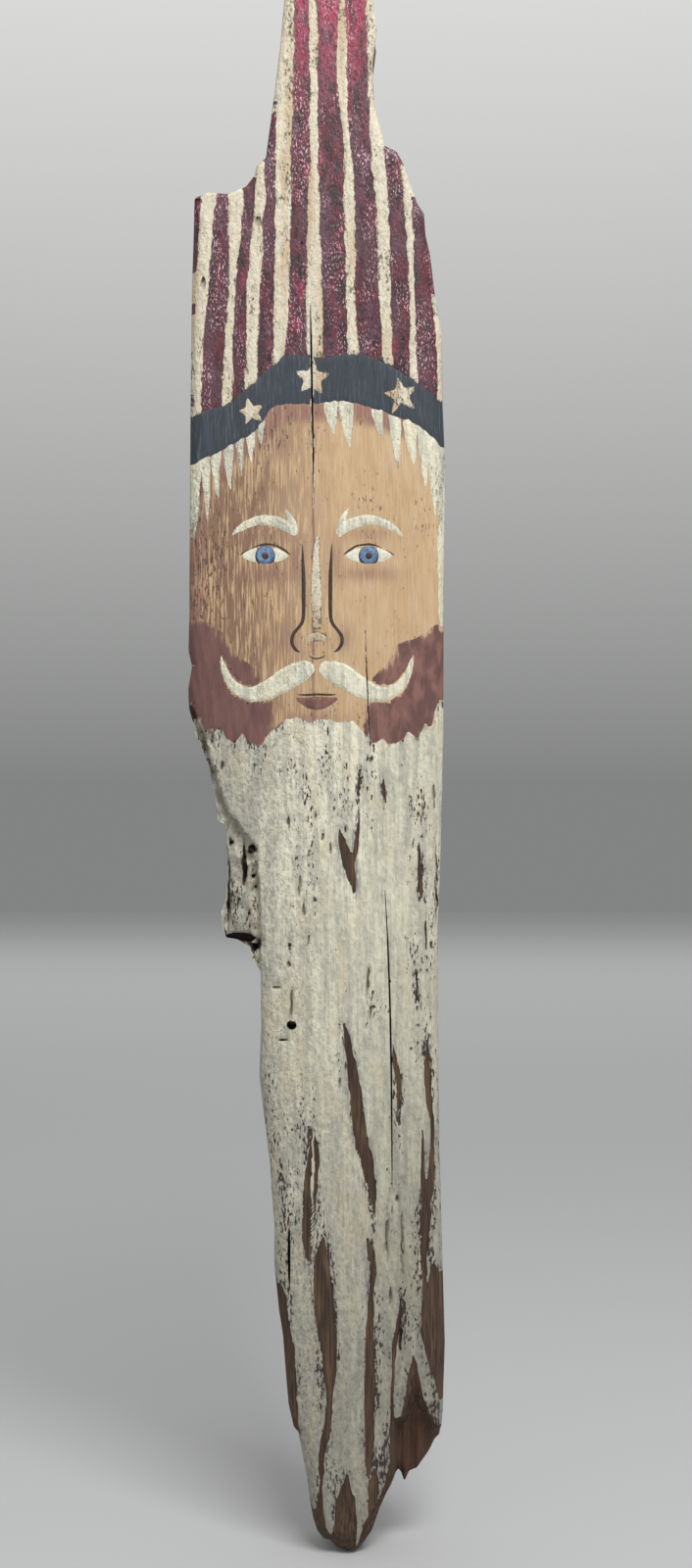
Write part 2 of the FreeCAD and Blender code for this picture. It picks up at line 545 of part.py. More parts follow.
def make_strap():
    """Folded sheet strap: two plies flat on the back, and a loop at the top round the ring's bar."""
    low, top = HINGE.z - strap_length, HINGE.z
    under, over = BACK + strap_sheet, BACK + 2 * strap_sheet
    profile = [
        disc_x(loop_outer),
        side_face([(BACK, low), (under, low), (under, top), (BACK, top)]),
        side_face([(under, low), (over, low), (over, top - loop_outer * 1.6),
                   (HINGE.y + loop_outer * 0.8, top - loop_outer * 0.55), (HINGE.y, top), (under, top)]),
    ]
    plies = [face.extrude(Vector(strap_width, 0, 0)) for face in profile]
    strap = plies[0].multiFuse(plies[1:]).removeSplitter()
    strap.translate(Vector(HINGE.x - strap_width / 2, 0, 0))
    bore = Part.makeCylinder(loop_inner, 2 * strap_width, HINGE - Vector(strap_width, 0, 0), Vector(1, 0, 0))
    return strap.cut([bore] + [screw_hole(drop) for drop in (upper_screw_drop, lower_screw_drop)])


def disc_x(radius):
    """Round face about the hinge line, seen from the side, at X zero."""
    return Part.Face(Part.Wire(Part.makeCircle(radius, Vector(0, HINGE.y, HINGE.z), Vector(1, 0, 0))))


def side_face(points):
    """Flat face through (Y, Z) points at X zero."""
    corners = [Vector(0, y, z) for y, z in points]
    return Part.Face(Part.makePolygon(corners + corners[:1]))


def screw_hole(drop):
    """Tool for a clearance hole through both plies of the strap."""
    return Part.makeCylinder(screw_shank_radius + screw_hole_play, 4 * strap_sheet,
                             Vector(HINGE.x, BACK - strap_sheet, HINGE.z - drop), Vector(0, 1, 0))


def screw_solid(drop, holes_only=False):
    """Pan-head wood screw through the strap, or only the shank that its hole in the plank takes."""
    seat = Vector(HINGE.x, BACK + 2 * strap_sheet, HINGE.z - drop)
    inward = Vector(0, -1, 0)
    straight = screw_length - screw_tip
    shank = Part.makeCylinder(screw_shank_radius, straight, seat, inward)
    point = Part.makeCone(screw_shank_radius, screw_shank_radius / 4, screw_tip, seat + inward * straight, inward)
    shank = shank.fuse(point)
    if holes_only:
        return shank
    head = Part.makeCylinder(screw_head_radius, screw_head_height, seat, -inward)
    rim = [e for e in head.Edges if abs(e.BoundBox.YMin - e.BoundBox.YMax) < 1e-6
           and e.BoundBox.YMin > seat.y + screw_head_height / 2]
    head = head.makeFillet(screw_head_height * 0.55, rim)
    slots = []
    for size in ((screw_head_radius * 1.3, screw_slot), (screw_slot, screw_head_radius * 1.3)):
        corner = seat + Vector(-size[0] / 2, screw_head_height * 0.45, -size[1] / 2)
        slots.append(Part.makeBox(size[0], screw_head_height, size[1], corner))
    return head.cut(slots).fuse(shank).removeSplitter()


def make_ring():
    """D-ring of round wire: a straight bar in the strap's loop and a round bow, leaning on the plank."""
    half = ring_inner_width / 2 + ring_wire_radius
    bow_centre = ring_reach - half
    corner, cut = ring_corner, ring_corner * (1 - math.sqrt(0.5))
    spots = {
        "bar_left": (-half + corner, 0), "bar_right": (half - corner, 0),
        "bend_right": (half - cut, cut), "leg_right": (half, corner), "bow_right": (half, bow_centre),
        "bow_top": (0, ring_reach), "bow_left": (-half, bow_centre), "leg_left": (-half, corner),
        "bend_left": (-half + cut, cut),
    }
    at = {name: Vector(HINGE.x + x, HINGE.y, HINGE.z + z) for name, (x, z) in spots.items()}
    path = Part.Wire([
        Part.LineSegment(at["bar_left"], at["bar_right"]).toShape(),
        Part.Arc(at["bar_right"], at["bend_right"], at["leg_right"]).toShape(),
        Part.LineSegment(at["leg_right"], at["bow_right"]).toShape(),
        Part.Arc(at["bow_right"], at["bow_top"], at["bow_left"]).toShape(),
        Part.LineSegment(at["bow_left"], at["leg_left"]).toShape(),
        Part.Arc(at["leg_left"], at["bend_left"], at["bar_left"]).toShape(),
    ])
    section = Part.Wire(Part.makeCircle(ring_wire_radius, at["bar_left"], Vector(1, 0, 0)))
    ring = path.makePipeShell([section], True, True)
    ring.rotate(HINGE, Vector(1, 0, 0), ring_lean)
    return ring


def hook_point():
    """Where a wall hook bears: inside the top of the resting ring's bow."""
    reach = ring_reach - ring_wire_radius
    lean = math.radians(ring_lean)
    return HINGE + Vector(0, -reach * math.sin(lean), reach * math.cos(lean))


def export(name, shape):
    """Moves a sub-part so that the hook point is the origin, and writes its solids."""
    solids = shape.Solids
    for solid in solids:
        if not solid.isValid() or solid.Volume <= 0:
            raise ValueError(f"{name} has a bad solid")
    result = Part.makeCompound(solids) if len(solids) > 1 else solids[0]
    result.translate(-hook_point())
    result.exportStep(f"parts/{name}.step")
    print(f"{name}: {len(solids)} solids, {sum(s.Volume for s in solids):.1f} mm3")


def main():
    """Builds and writes every sub-part."""
    os.makedirs("parts", exist_ok=True)
    export("board", make_board())
    for name, shape in make_coats().items():
        export(name, shape)
    export("hanger_strap", make_strap())
    export("hanger_ring", make_ring())
    export("hanger_screw_upper", screw_solid(upper_screw_drop))
    export("hanger_screw_lower", screw_solid(lower_screw_drop))
    print("hook point on the drawing:", [round(v, 3) for v in hook_point()], "ring lean:", round(ring_lean, 3))


main()
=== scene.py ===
"""Looks of one painted driftwood wall figure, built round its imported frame.

Lengths inside the classes are millimetres in the frame's own axes: X across the plank, Y from front to back,
Z up. They become metres where a mesh is made. Outlines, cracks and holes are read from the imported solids, so
every coat of paint lies where the construction puts it.
"""
import json
import logging
import math
from collections.abc import Callable
from dataclasses import dataclass
from enum import Enum

import bpy
import numpy as np
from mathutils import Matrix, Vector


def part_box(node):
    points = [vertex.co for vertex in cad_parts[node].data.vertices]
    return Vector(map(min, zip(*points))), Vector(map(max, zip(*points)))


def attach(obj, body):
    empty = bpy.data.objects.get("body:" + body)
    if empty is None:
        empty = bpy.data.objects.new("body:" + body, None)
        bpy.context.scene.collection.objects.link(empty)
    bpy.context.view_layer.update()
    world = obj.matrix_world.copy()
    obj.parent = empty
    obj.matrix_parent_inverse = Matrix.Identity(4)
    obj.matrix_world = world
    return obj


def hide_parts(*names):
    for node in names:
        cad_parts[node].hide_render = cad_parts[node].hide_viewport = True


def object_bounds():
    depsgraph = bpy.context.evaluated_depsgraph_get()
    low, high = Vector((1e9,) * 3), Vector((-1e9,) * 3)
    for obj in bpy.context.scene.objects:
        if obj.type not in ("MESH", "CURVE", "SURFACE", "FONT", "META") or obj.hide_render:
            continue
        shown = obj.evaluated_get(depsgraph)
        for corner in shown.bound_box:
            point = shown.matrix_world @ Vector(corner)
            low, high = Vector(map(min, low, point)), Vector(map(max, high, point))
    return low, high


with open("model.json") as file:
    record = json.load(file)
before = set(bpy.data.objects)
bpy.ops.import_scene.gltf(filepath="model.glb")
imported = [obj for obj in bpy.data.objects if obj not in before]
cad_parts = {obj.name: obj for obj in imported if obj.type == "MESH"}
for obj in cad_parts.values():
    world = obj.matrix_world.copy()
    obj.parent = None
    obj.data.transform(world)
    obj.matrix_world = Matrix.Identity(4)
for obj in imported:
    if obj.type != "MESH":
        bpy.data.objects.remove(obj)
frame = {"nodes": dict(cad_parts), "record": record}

LOG = logging.getLogger("wall_figure")
MM = 0.001
CAD_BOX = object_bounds()
Array = np.ndarray
Colour = tuple[float, float, float]
Socket = bpy.types.NodeSocket
Value = Socket | float | Colour  # what a node's socket takes
Held = Callable[[Array, Array], Array]  # positive inside an outline


class Facing(Enum):
    """Which side of a solid is read, as the sign of its normal along Y."""

    FRONT = -1.0
    BACK = 1.0


class Damage(Enum):
    """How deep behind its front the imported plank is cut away."""

    FLAKE = 6.0
    CRACK = 9.0
    POCKET = 13.0


class Layer(Enum):
    """How far a coat's skin stands out of the plank's nominal front surface."""

    GROUND = 0.10
    DETAIL = 0.45
    TOP = 0.75


class Noise:
    """Smooth seeded noise over the plank's plane, from minus one to one."""

    def __init__(self, seed: int) -> None:
        """Draws the lattice of values.

        Args:
            seed: Number that fixes the pattern.
        """
        self.lattice = np.random.default_rng(seed).random((256, 256)) * 2 - 1

    def at(self, x: Array, z: Array, wide: float, tall: float) -> Array:
        """One octave.

        Args:
            x: Places across.
            z: Places up.
            wide: Size of a blot across.
            tall: Size of a blot up.

        Returns:
            Noise at each place.
        """
        u, v = x / wide, z / tall
        i, j = np.floor(u).astype(int), np.floor(v).astype(int)
        f, g = u - i, v - j
        f, g = f * f * (3 - 2 * f), g * g * (3 - 2 * g)
        corner = [self.lattice[(i + a) % 256, (j + b) % 256] for a in (0, 1) for b in (0, 1)]
        low = corner[0] * (1 - g) + corner[1] * g
        high = corner[2] * (1 - g) + corner[3] * g
        return low * (1 - f) + high * f

    def layered(self, x: Array, z: Array, wide: float, tall: float, octaves: int = 3) -> Array:
        """Several octaves, each half as large and half as strong.

        Args:
            x: Places across.
            z: Places up.
            wide: Size of the largest blot across.
            tall: Size of the largest blot up.
            octaves: How many to add.

        Returns:
            Noise at each place.
        """
        total = np.zeros(np.broadcast(x, z).shape)
        for k in range(octaves):
            total += self.at(x + 37.1 * k, z + 91.7 * k, wide / 2**k, tall / 2**k) / 2**k
        return total / (2 - 2 ** (1 - octaves))


def smoothstep(value: Array, low: float = 0.0, high: float = 1.0) -> Array:
    """Smooth ramp from 0 at low to 1 at high."""
    t = np.clip((value - low) / (high - low), 0, 1)
    return t * t * (3 - 2 * t)


def bell(gap: Array, reach: float) -> Array:
    """One where there is no gap, fading to nothing over a few reaches."""
    return np.exp(-((gap / reach) ** 2))


class Field:
    """A quantity on a raster over the plank's plane, read between its samples."""

    def __init__(self, x: Array, z: Array, values: Array) -> None:
        """Keeps the raster.

        Args:
            x: Sample places across, evenly spaced.
            z: Sample places up, evenly spaced.
            values: One row for each place up.
        """
        self.x, self.z, self.values = x, z, values

    def at(self, x: Array, z: Array) -> Array:
        """Value at each place, held at the raster's border beyond it.

        Args:
            x: Places across.
            z: Places up.

        Returns:
            Values, blended between the four nearest samples.
        """
        u = np.clip((x - self.x[0]) / (self.x[1] - self.x[0]), 0, len(self.x) - 1.001)
        v = np.clip((z - self.z[0]) / (self.z[1] - self.z[0]), 0, len(self.z) - 1.001)
        i, j = u.astype(int), v.astype(int)
        f, g = u - i, v - j
        values = self.values
        low = values[j, i] * (1 - f) + values[j, i + 1] * f
        high = values[j + 1, i] * (1 - f) + values[j + 1, i + 1] * f
        return low * (1 - g) + high * g

    def slope(self, x: Array, z: Array, reach: float = 0.5) -> tuple[Array, Array]:
        """Gradient, by differences over a small reach.

        Args:
            x: Places across.
            z: Places up.
            reach: How far to either side the field is read.

        Returns:
            Slopes across and up.
        """
        across = (self.at(x + reach, z) - self.at(x - reach, z)) / (2 * reach)
        up = (self.at(x, z + reach) - self.at(x, z - reach)) / (2 * reach)
        return across, up


def corners(node: str) -> tuple[Array, Array]:
    """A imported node's lowest and highest corners, in millimetres."""
    low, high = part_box(node)
    return np.array(low) / MM, np.array(high) / MM


def seen_edges(
    node: str, facing: Facing, depths: tuple[float, float] | None = None, least: float = 0.02
) -> Array:
    """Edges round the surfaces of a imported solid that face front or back.

    Args:
        node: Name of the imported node.
        facing: Which surfaces count.
        depths: Lowest and highest Y of the surfaces that count.
        least: How squarely they have to face, from 0 to 1.

    Returns:
        Rows of x0, z0, x1, z1.
    """
    mesh = frame["nodes"][node].data
    mesh.calc_loop_triangles()
    place = np.empty(len(mesh.vertices) * 3)
    mesh.vertices.foreach_get("co", place)
    place = place.reshape(-1, 3) / MM
    faces = np.empty(len(mesh.loop_triangles) * 3, int)
    mesh.loop_triangles.foreach_get("vertices", faces)
    faces = faces.reshape(-1, 3)
    a, b, c = (place[faces[:, k]] for k in range(3))
    normal = np.cross(b - a, c - a)
    keep = normal[:, 1] * facing.value > least * np.linalg.norm(normal, axis=1)
    if depths:
        middle = (a + b + c)[:, 1] / 3
        keep &= (middle > depths[0]) & (middle < depths[1])
    flat, index = np.unique(np.round(place[:, [0, 2]], 3), axis=0, return_inverse=True)
    tri = index.reshape(-1)[faces[keep]]
    pairs = np.sort(np.vstack([tri[:, [0, 1]], tri[:, [1, 2]], tri[:, [2, 0]]]), axis=1)
    pairs, count = np.unique(pairs, axis=0, return_counts=True)
    pairs = pairs[(count % 2 == 1) & (pairs[:, 0] != pairs[:, 1])]
    return np.hstack([flat[pairs[:, 0]], flat[pairs[:, 1]]])


def raster(edges: Array, margin: float, step: float) -> tuple[Array, Array]:
    """Sample places round some edges.

    Args:
        edges: Rows of x0, z0, x1, z1.
        margin: How far past the edges the samples go.
        step: Distance between samples.

    Returns:
        Places across and places up.
    """
    hair = 0.0137  # keeps every sample off the corners, which lie on round numbers
    spans = [(edges[:, [k, k + 2]].min() - margin, edges[:, [k, k + 2]].max() + margin) for k in (0, 1)]
    return tuple(np.arange(low + hair, high, step) for low, high in spans)


def inside_mask(edges: Array, x: Array, z: Array) -> Array:
    """Which samples the closed edges hold, by counting the crossings to their left.

    Args:
        edges: Rows of x0, z0, x1, z1.
        x: Sample places across.
        z: Sample places up.

    Returns:
        One row of answers for each place up.
    """
    crossings = np.zeros((len(z), len(x) + 1), int)
    for x0, z0, x1, z1 in edges:
        rows = np.nonzero((z >= min(z0, z1)) & (z < max(z0, z1)))[0]
        if len(rows):
            at = x0 + (x1 - x0) * (z[rows] - z0) / (z1 - z0)
            np.add.at(crossings, (rows, np.searchsorted(x, at)), 1)
    return np.cumsum(crossings, axis=1)[:, :-1] % 2 == 1


def edge_distance(edges: Array, x: Array, z: Array, reach: float) -> Array:
    """Distance of each sample from the nearest edge.

    Args:
        edges: Rows of x0, z0, x1, z1.
        x: Sample places across.
        z: Sample places up.
        reach: The most that is measured.

    Returns:
        One row of distances for each place up.
    """
    far = np.full((len(z), len(x)), reach)
    for x0, z0, x1, z1 in edges:
        i = slice(*np.searchsorted(x, (min(x0, x1) - reach, max(x0, x1) + reach)))
        j = slice(*np.searchsorted(z, (min(z0, z1) - reach, max(z0, z1) + reach)))
        px, pz = np.meshgrid(x[i] - x0, z[j] - z0)
        dx, dz = x1 - x0, z1 - z0
        t = np.clip((px * dx + pz * dz) / max(dx * dx + dz * dz, 1e-12), 0, 1)
        far[j, i] = np.minimum(far[j, i], np.hypot(px - t * dx, pz - t * dz))
    return far


def outline_field(edges: Array, reach: float, step: float, margin: float = 4.0) -> Field:
    """Signed distance from closed edges.

    Args:
        edges: Rows of x0, z0, x1, z1.
        reach: The most that is measured.
        step: Distance between samples.
        margin: How far past the edges the samples go.

    Returns:
        Distances, positive inside.
    """
    x, z = raster(edges, margin, step)
    far = edge_distance(edges, x, z, reach)
    return Field(x, z, np.where(inside_mask(edges, x, z), far, -far))


@dataclass(frozen=True)
class Wear:
    """Sizes of the plank's worn relief. Levels are measured up from the foot."""

    # growth rings, and how far their pith lies behind and beside the plank's back
    ring_pitch: float = 3.3
    ring_height: float = 0.28
    pith_depth: float = 62.0
    pith_across: float = 16.0
    # heights of raised grain, of slow waves and of worn patches
    fibre_height: float = 0.20
    wave_height: float = 0.55
    patch_height: float = 0.35
    # damage
    crack_depth: float = 4.5
    flake_depth: float = 6.0
    pocket_depth: float = 8.0
    chip_depth: float = 2.6
    # the hollow of the broken corner: where it starts across, its depth and its top
    scoop_side: float = 40.5
    scoop_depth: float = 11.0
    scoop_top: float = 116.0
    # the worn foot
    foot_height: float = 46.0
    foot_depth: float = 3.0
    # share of the front corners' radius that the back corners have
    back_rounding: float = 0.55
    # above this level thick paint keeps chips shallow, by this share
    hat_level: float = 560.0
    hat_chip_loss: float = 0.65
    # (level, corner radius) down each side; small where the timber broke
    left_radii: tuple[tuple[float, float], ...] = (
        (0, 13), (60, 8), (320, 6), (345, 3), (410, 3.5), (460, 7), (735, 8), (752, 2.5), (775, 4), (882, 5))
    right_radii: tuple[tuple[float, float], ...] = (
        (0, 12), (40, 4), (66, 9), (110, 13), (690, 13), (757, 4), (778, 3), (800, 5), (882, 5))
    # slots and chips where the paint has gone and the wood lies open,
    # as (across, level, half width, half height)
    chips: tuple[tuple[float, float, float, float], ...] = (
        (-40.3, 382, 1.5, 12), (-36.0, 391, 2.6, 2.6), (-49.2, 368, 1.0, 19), (-35.2, 376, 0.9, 1.2),
        (-43.5, 341.5, 9.5, 3.2), (-36.5, 336.5, 3.6, 2.6), (-15.6, 406, 0.9, 4), (-9.6, 371, 0.8, 7),
        (-7.4, 359, 0.7, 5), (-15.2, 338, 0.9, 4), (-4.6, 341, 0.6, 4), (-15.6, 328, 0.8, 2.2),
        (-14.2, 306, 0.9, 9), (-18.6, 286, 2.4, 0.7), (-22.5, 315, 3.2, 0.7), (28.0, 318, 0.8, 9),
        (29.2, 303, 0.7, 6), (38.4, 178, 0.9, 14), (40.4, 145, 0.8, 6), (46.8, 172, 0.7, 20),
        (46.2, 123, 0.9, 9), (44.3, 199, 0.9, 2.4), (1.5, 232, 0.6, 5), (12.5, 262, 0.6, 4),
        (-52.5, 437, 1.2, 3), (-58.0, 452, 0.9, 4), (-30.0, 240, 0.7, 6), (-26.5, 213, 0.8, 4),
        (3.2, 398, 0.8, 3), (7.5, 391, 0.7, 4), (-1.0, 409, 0.6, 3), (16.0, 402, 1.0, 2.2),
        (66.0, 372, 0.7, 22), (64.5, 421, 0.6, 8), (-66.0, 748, 3.2, 2.0), (-62.5, 703, 1.8, 3.6),
        (-32.5, 737, 2.2, 3.0), (-8.5, 726, 1.0, 3.4), (-39.5, 655, 1.0, 2.4))


class Plan:
    """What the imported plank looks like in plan: its outline, its damage and its main places."""

    STEP = 0.5
    CRACK_STEP = 0.25
    REACH = 30.0
    DAMAGE_REACH = 24.0
    RIM = 2.3

    def __init__(self, wear: Wear) -> None:
        """Reads the plank's outline, cracks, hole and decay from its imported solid.

        Args:
            wear: Sizes of the worn relief, for its chips.
        """
        low, high = corners("board")
        self.foot, self.tip = low[2], high[2]
        self.front, self.back = low[1], high[1]
        lip = corners("lower_lip")
        self.centre = (lip[0][0] + lip[1][0]) / 2
        hole = next(m for m in frame["record"]["mounts"] if m["name"] == "nail_hole")
        self.hole = (hole["pos_m"][0] / MM, hole["pos_m"][2] / MM, hole["dims"]["r_mm"])
        edges = seen_edges("board", Facing.BACK, (self.back - 5, self.back + 1))
        for screw in ("hanger_screw_upper", "hanger_screw_lower"):
            edges = self._without_spot(edges, *self._spot(screw))
        edges = self._without_spot(edges, self.hole[0], self.hole[1], self.hole[2] + 1)
        self.outline = outline_field(edges, self.REACH, self.STEP)
        self.cracks = self._damage(Damage.CRACK, self.CRACK_STEP)
        self.flake = self._damage(Damage.FLAKE, self.STEP)
        self.pocket = self._damage(Damage.POCKET, self.STEP)
        self.noise = Noise(7)
        self.chips = wear.chips

    def _spot(self, node: str) -> tuple[float, float, float]:
        """Centre, across and up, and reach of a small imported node."""
        low, high = corners(node)
        return (low[0] + high[0]) / 2, (low[2] + high[2]) / 2, (high[0] - low[0]) / 2

    def _without_spot(self, edges: Array, x: float, z: float, reach: float) -> Array:
        """The edges that lie outside a round spot."""
        middle = (edges[:, :2] + edges[:, 2:]) / 2
        return edges[np.hypot(middle[:, 0] - x, middle[:, 1] - z) > reach]

    def _damage(self, kind: Damage, step: float) -> Field:
        """Signed distance from the flat floors of one kind of damage.

        Args:
            kind: Which floors, by their depth.
            step: Distance between samples.

        Returns:
            Distances, positive over the floors.
        """
        level, play = self.front + kind.value, 0.2
        edges = seen_edges("board", Facing.FRONT, (level - play, level + play), least=0.98)
        return outline_field(edges, self.DAMAGE_REACH, step, self.DAMAGE_REACH)

    def drawn(self, x: Array, z: Array) -> tuple[Array, Array]:
        """Places measured from the plank's centre line and its foot."""
        return x - self.centre, z - self.foot

    def rim(self, x: Array, z: Array) -> Array:
        """Distance inside the plank's outline."""
        return self.outline.at(x, z)

    def hole_gap(self, x: Array, z: Array) -> Array:
        """Distance outside the old nail hole."""
        return np.hypot(x - self.hole[0], z - self.hole[1]) - self.hole[2]

    def flaked(self, x: Array, z: Array) -> Array:
        """Distance inside the decayed edge, whose border is ragged."""
        ragged = self.noise.at(x + 80, z, 3.4, 9.0) + 0.6 * self.noise.at(x + 95, z, 1.6, 4.0)
        return self.flake.at(x, z) + ragged

    def chip(self, x: Array, z: Array) -> Array:
        """Distance inside the nearest chip or decayed pit.

        Args:
            x: Places across.
            z: Places up.

        Returns:
            Distances, negative outside.
        """
        cx, up = self.drawn(x, z)
        cx = cx + 0.7 * self.noise.at(x, z, 1.6, 3.6)
        nearest = np.full(np.shape(x), -4.0)
        for across, level, wide, tall in self.chips:
            near = (np.abs(cx - across) < wide + 4) & (np.abs(up - level) < tall + 6)
            gap = np.hypot((cx[near] - across) / wide, (up[near] - level) / tall)
            nearest[near] = np.maximum(nearest[near], wide * (1 - gap))
        sound = smoothstep(-self.flake.at(x, z), -2, 1)
        pits = 2.2 * (self.noise.layered(x + 40, z, 3.2, 8.0, 2) - 0.55) - 2 * sound
        return np.maximum(nearest, pits)

    def pulled_in(self, x: Array, z: Array) -> tuple[Array, Array]:
        """Moves places near the outline inward, to a set distance from it.

        Args:
            x: Places across.
            z: Places up.

        Returns:
            The moved places across and up.
        """
        d = self.rim(x, z)
        sx, sz = self.outline.slope(x, z, 1.0)
        size = np.maximum(np.hypot(sx, sz), 0.2)
        need = np.clip(self.RIM - d, 0, 2 * self.RIM)
        return x + sx / size * need, z + sz / size * need


class Surface:
    """The plank's front and back faces, as heights over its plane."""

    BEARD_REACH = 14.0
    BEARD_MARGIN = 40.0

    def __init__(self, plan: Plan, wear: Wear) -> None:
        """Reads the beard's outline, whose gaps show bare wood.

        Args:
            plan: The plank in plan.
            wear: Sizes of the worn relief.
        """
        self.plan, self.wear = plan, wear
        self.grain, self.lumps, self.chips = Noise(11), Noise(12), Noise(13)
        beard = seen_edges("beard_coat", Facing.FRONT)
        self.beard = outline_field(beard, self.BEARD_REACH, plan.STEP, self.BEARD_MARGIN)

    def rings(self, x: Array, y: Array, z: Array) -> Array:
        """Growth rings, round a pith that wanders behind the plank.

        Args:
            x: Places across.
            y: Places from front to back.
            z: Places up.

        Returns:
            How many rings lie between each place and the pith.
        """
        w, up = self.wear, z - self.plan.foot
        wander = 22 * np.sin(up / 170.0 + 0.6) + 9 * np.sin(up / 61.0)
        lift = 13 * np.sin(up / 240.0 + 2.0)
        across = x - self.plan.centre - w.pith_across - wander
        away = y - self.plan.back - w.pith_depth - lift
        wobble = 0.55 * self.grain.layered(x, z, 34.0, 210.0)
        return np.hypot(across, away) / w.ring_pitch + wobble

    def _corner(self, x: Array, z: Array, share: float) -> Array:
        """How far the worn corner drops back, near the outline.

        Args:
            x: Places across.
            z: Places up.
            share: Share of the front corner's radius.

        Returns:
            Drop at each place.
        """
        cx, up = self.plan.drawn(x, z)
        left = np.interp(up, *zip(*self.wear.left_radii))
        right = np.interp(up, *zip(*self.wear.right_radii))
        radius = share * (left + (right - left) * smoothstep(cx, -14, 14))
        t = np.clip(1 - self.plan.rim(x, z) / radius, 0, 1)
        steep = 0.86  # a whole quarter circle, 1.0, would end edge-on
        return radius * (1 - np.sqrt(1 - steep * t * t))

    def scoop(self, x: Array, z: Array) -> Array:
        """The hollow where the lower right corner split away, bare of the beard's paint.

        Args:
            x: Places across.
            z: Places up.

        Returns:
            Shares from 0 to 1.
        """
        cx, up = self.plan.drawn(x, z)
        bare = np.clip(-self.beard.at(x, z), 0, 12) / 12
        side = smoothstep(cx, self.wear.scoop_side, self.wear.scoop_side + 4)
        return side * smoothstep(bare, 0.0, 0.55) * smoothstep(self.wear.scoop_top - up, 0, 62)

    def decay(self, x: Array, z: Array) -> Array:
        """Share, 0 to 1, of the decayed left edge."""
        return smoothstep(self.plan.flaked(x, z), -0.5, 1.6)

    def texture(self, x: Array, z: Array, y: float) -> Array:
        """Relief of the weathered grain.

        Args:
            x: Places across.
            z: Places up.
            y: Depth at which the growth rings are cut.

        Returns:
            Heights, positive outward.
        """
        w, ring = self.wear, 0.5 + 0.5 * np.cos(2 * math.pi * self.rings(x, y, z))
        fibre = self.grain.layered(x, z, 3.2, 60.0, 2)
        wave = self.lumps.layered(x, z, 26.0, 130.0)
        patch = self.lumps.layered(x + 500, z, 9.0, 30.0)
        grain = w.ring_height * ring**2 + w.fibre_height * fibre
        return grain + w.wave_height * wave + w.patch_height * patch

    def sink(self, x: Array, z: Array, groove: float = 1.0) -> Array:
        """How far the front lies behind its nominal plane.

        Args:
            x: Places across.
            z: Places up.
            groove: Share of the drying cracks' depth that shows.

        Returns:
            Depth at each place.
        """
        w, plan = self.wear, self.plan
        cx, up = plan.drawn(x, z)
        decay = self.decay(x, z)
        chip = smoothstep(plan.chip(x, z), -0.3, 0.6)
        crumble = self.chips.layered(x, z, 8.0, 18.0) + 0.5 * self.chips.at(x, z, 2.8, 6.0)
        depth = self._corner(x, z, 1.0) * (1 - 0.6 * decay)
        depth = depth + w.flake_depth * decay * (0.8 + 0.42 * crumble)
        depth = depth + w.pocket_depth * smoothstep(plan.pocket.at(x, z), -1.0, 3.4)
        depth = depth + w.scoop_depth * self.scoop(x, z) * (1 + 0.18 * self.grain.at(x, z, 2.4, 30.0))
        in_hat = smoothstep(up, w.hat_level - 20, w.hat_level + 20)
        depth = depth + w.chip_depth * chip * (1 + 0.9 * decay) * (1 - w.hat_chip_loss * in_hat)
        depth = depth + w.foot_depth * smoothstep(w.foot_height - up, 0, w.foot_height) ** 1.5
        depth = depth + groove * w.crack_depth * smoothstep(plan.cracks.at(x, z), -0.1, 0.7)
        return depth

    def front(self, x: Array, z: Array, out: float = 0.0, grain: float = 1.0, groove: float = 1.0) -> Array:
        """Y of the front face.

        Args:
            x: Places across.
            z: Places up.
            out: How far the skin stands out of the nominal surface.
            grain: Share of the wood's relief that shows through.
            groove: Share of the cracks' depth that shows.

        Returns:
            Y at each place.
        """
        relief = grain * self.texture(x, z, self.plan.front)
        return self.plan.front + self.sink(x, z, groove) - relief - out

    def back(self, x: Array, z: Array) -> Array:
        """Y of the back face, whose corners are less worn."""
        relief = np.minimum(self.texture(x + 300, z, self.plan.back) * 0.8 - 0.25, 0.3)
        return self.plan.back - self._corner(x, z, self.wear.back_rounding) + relief


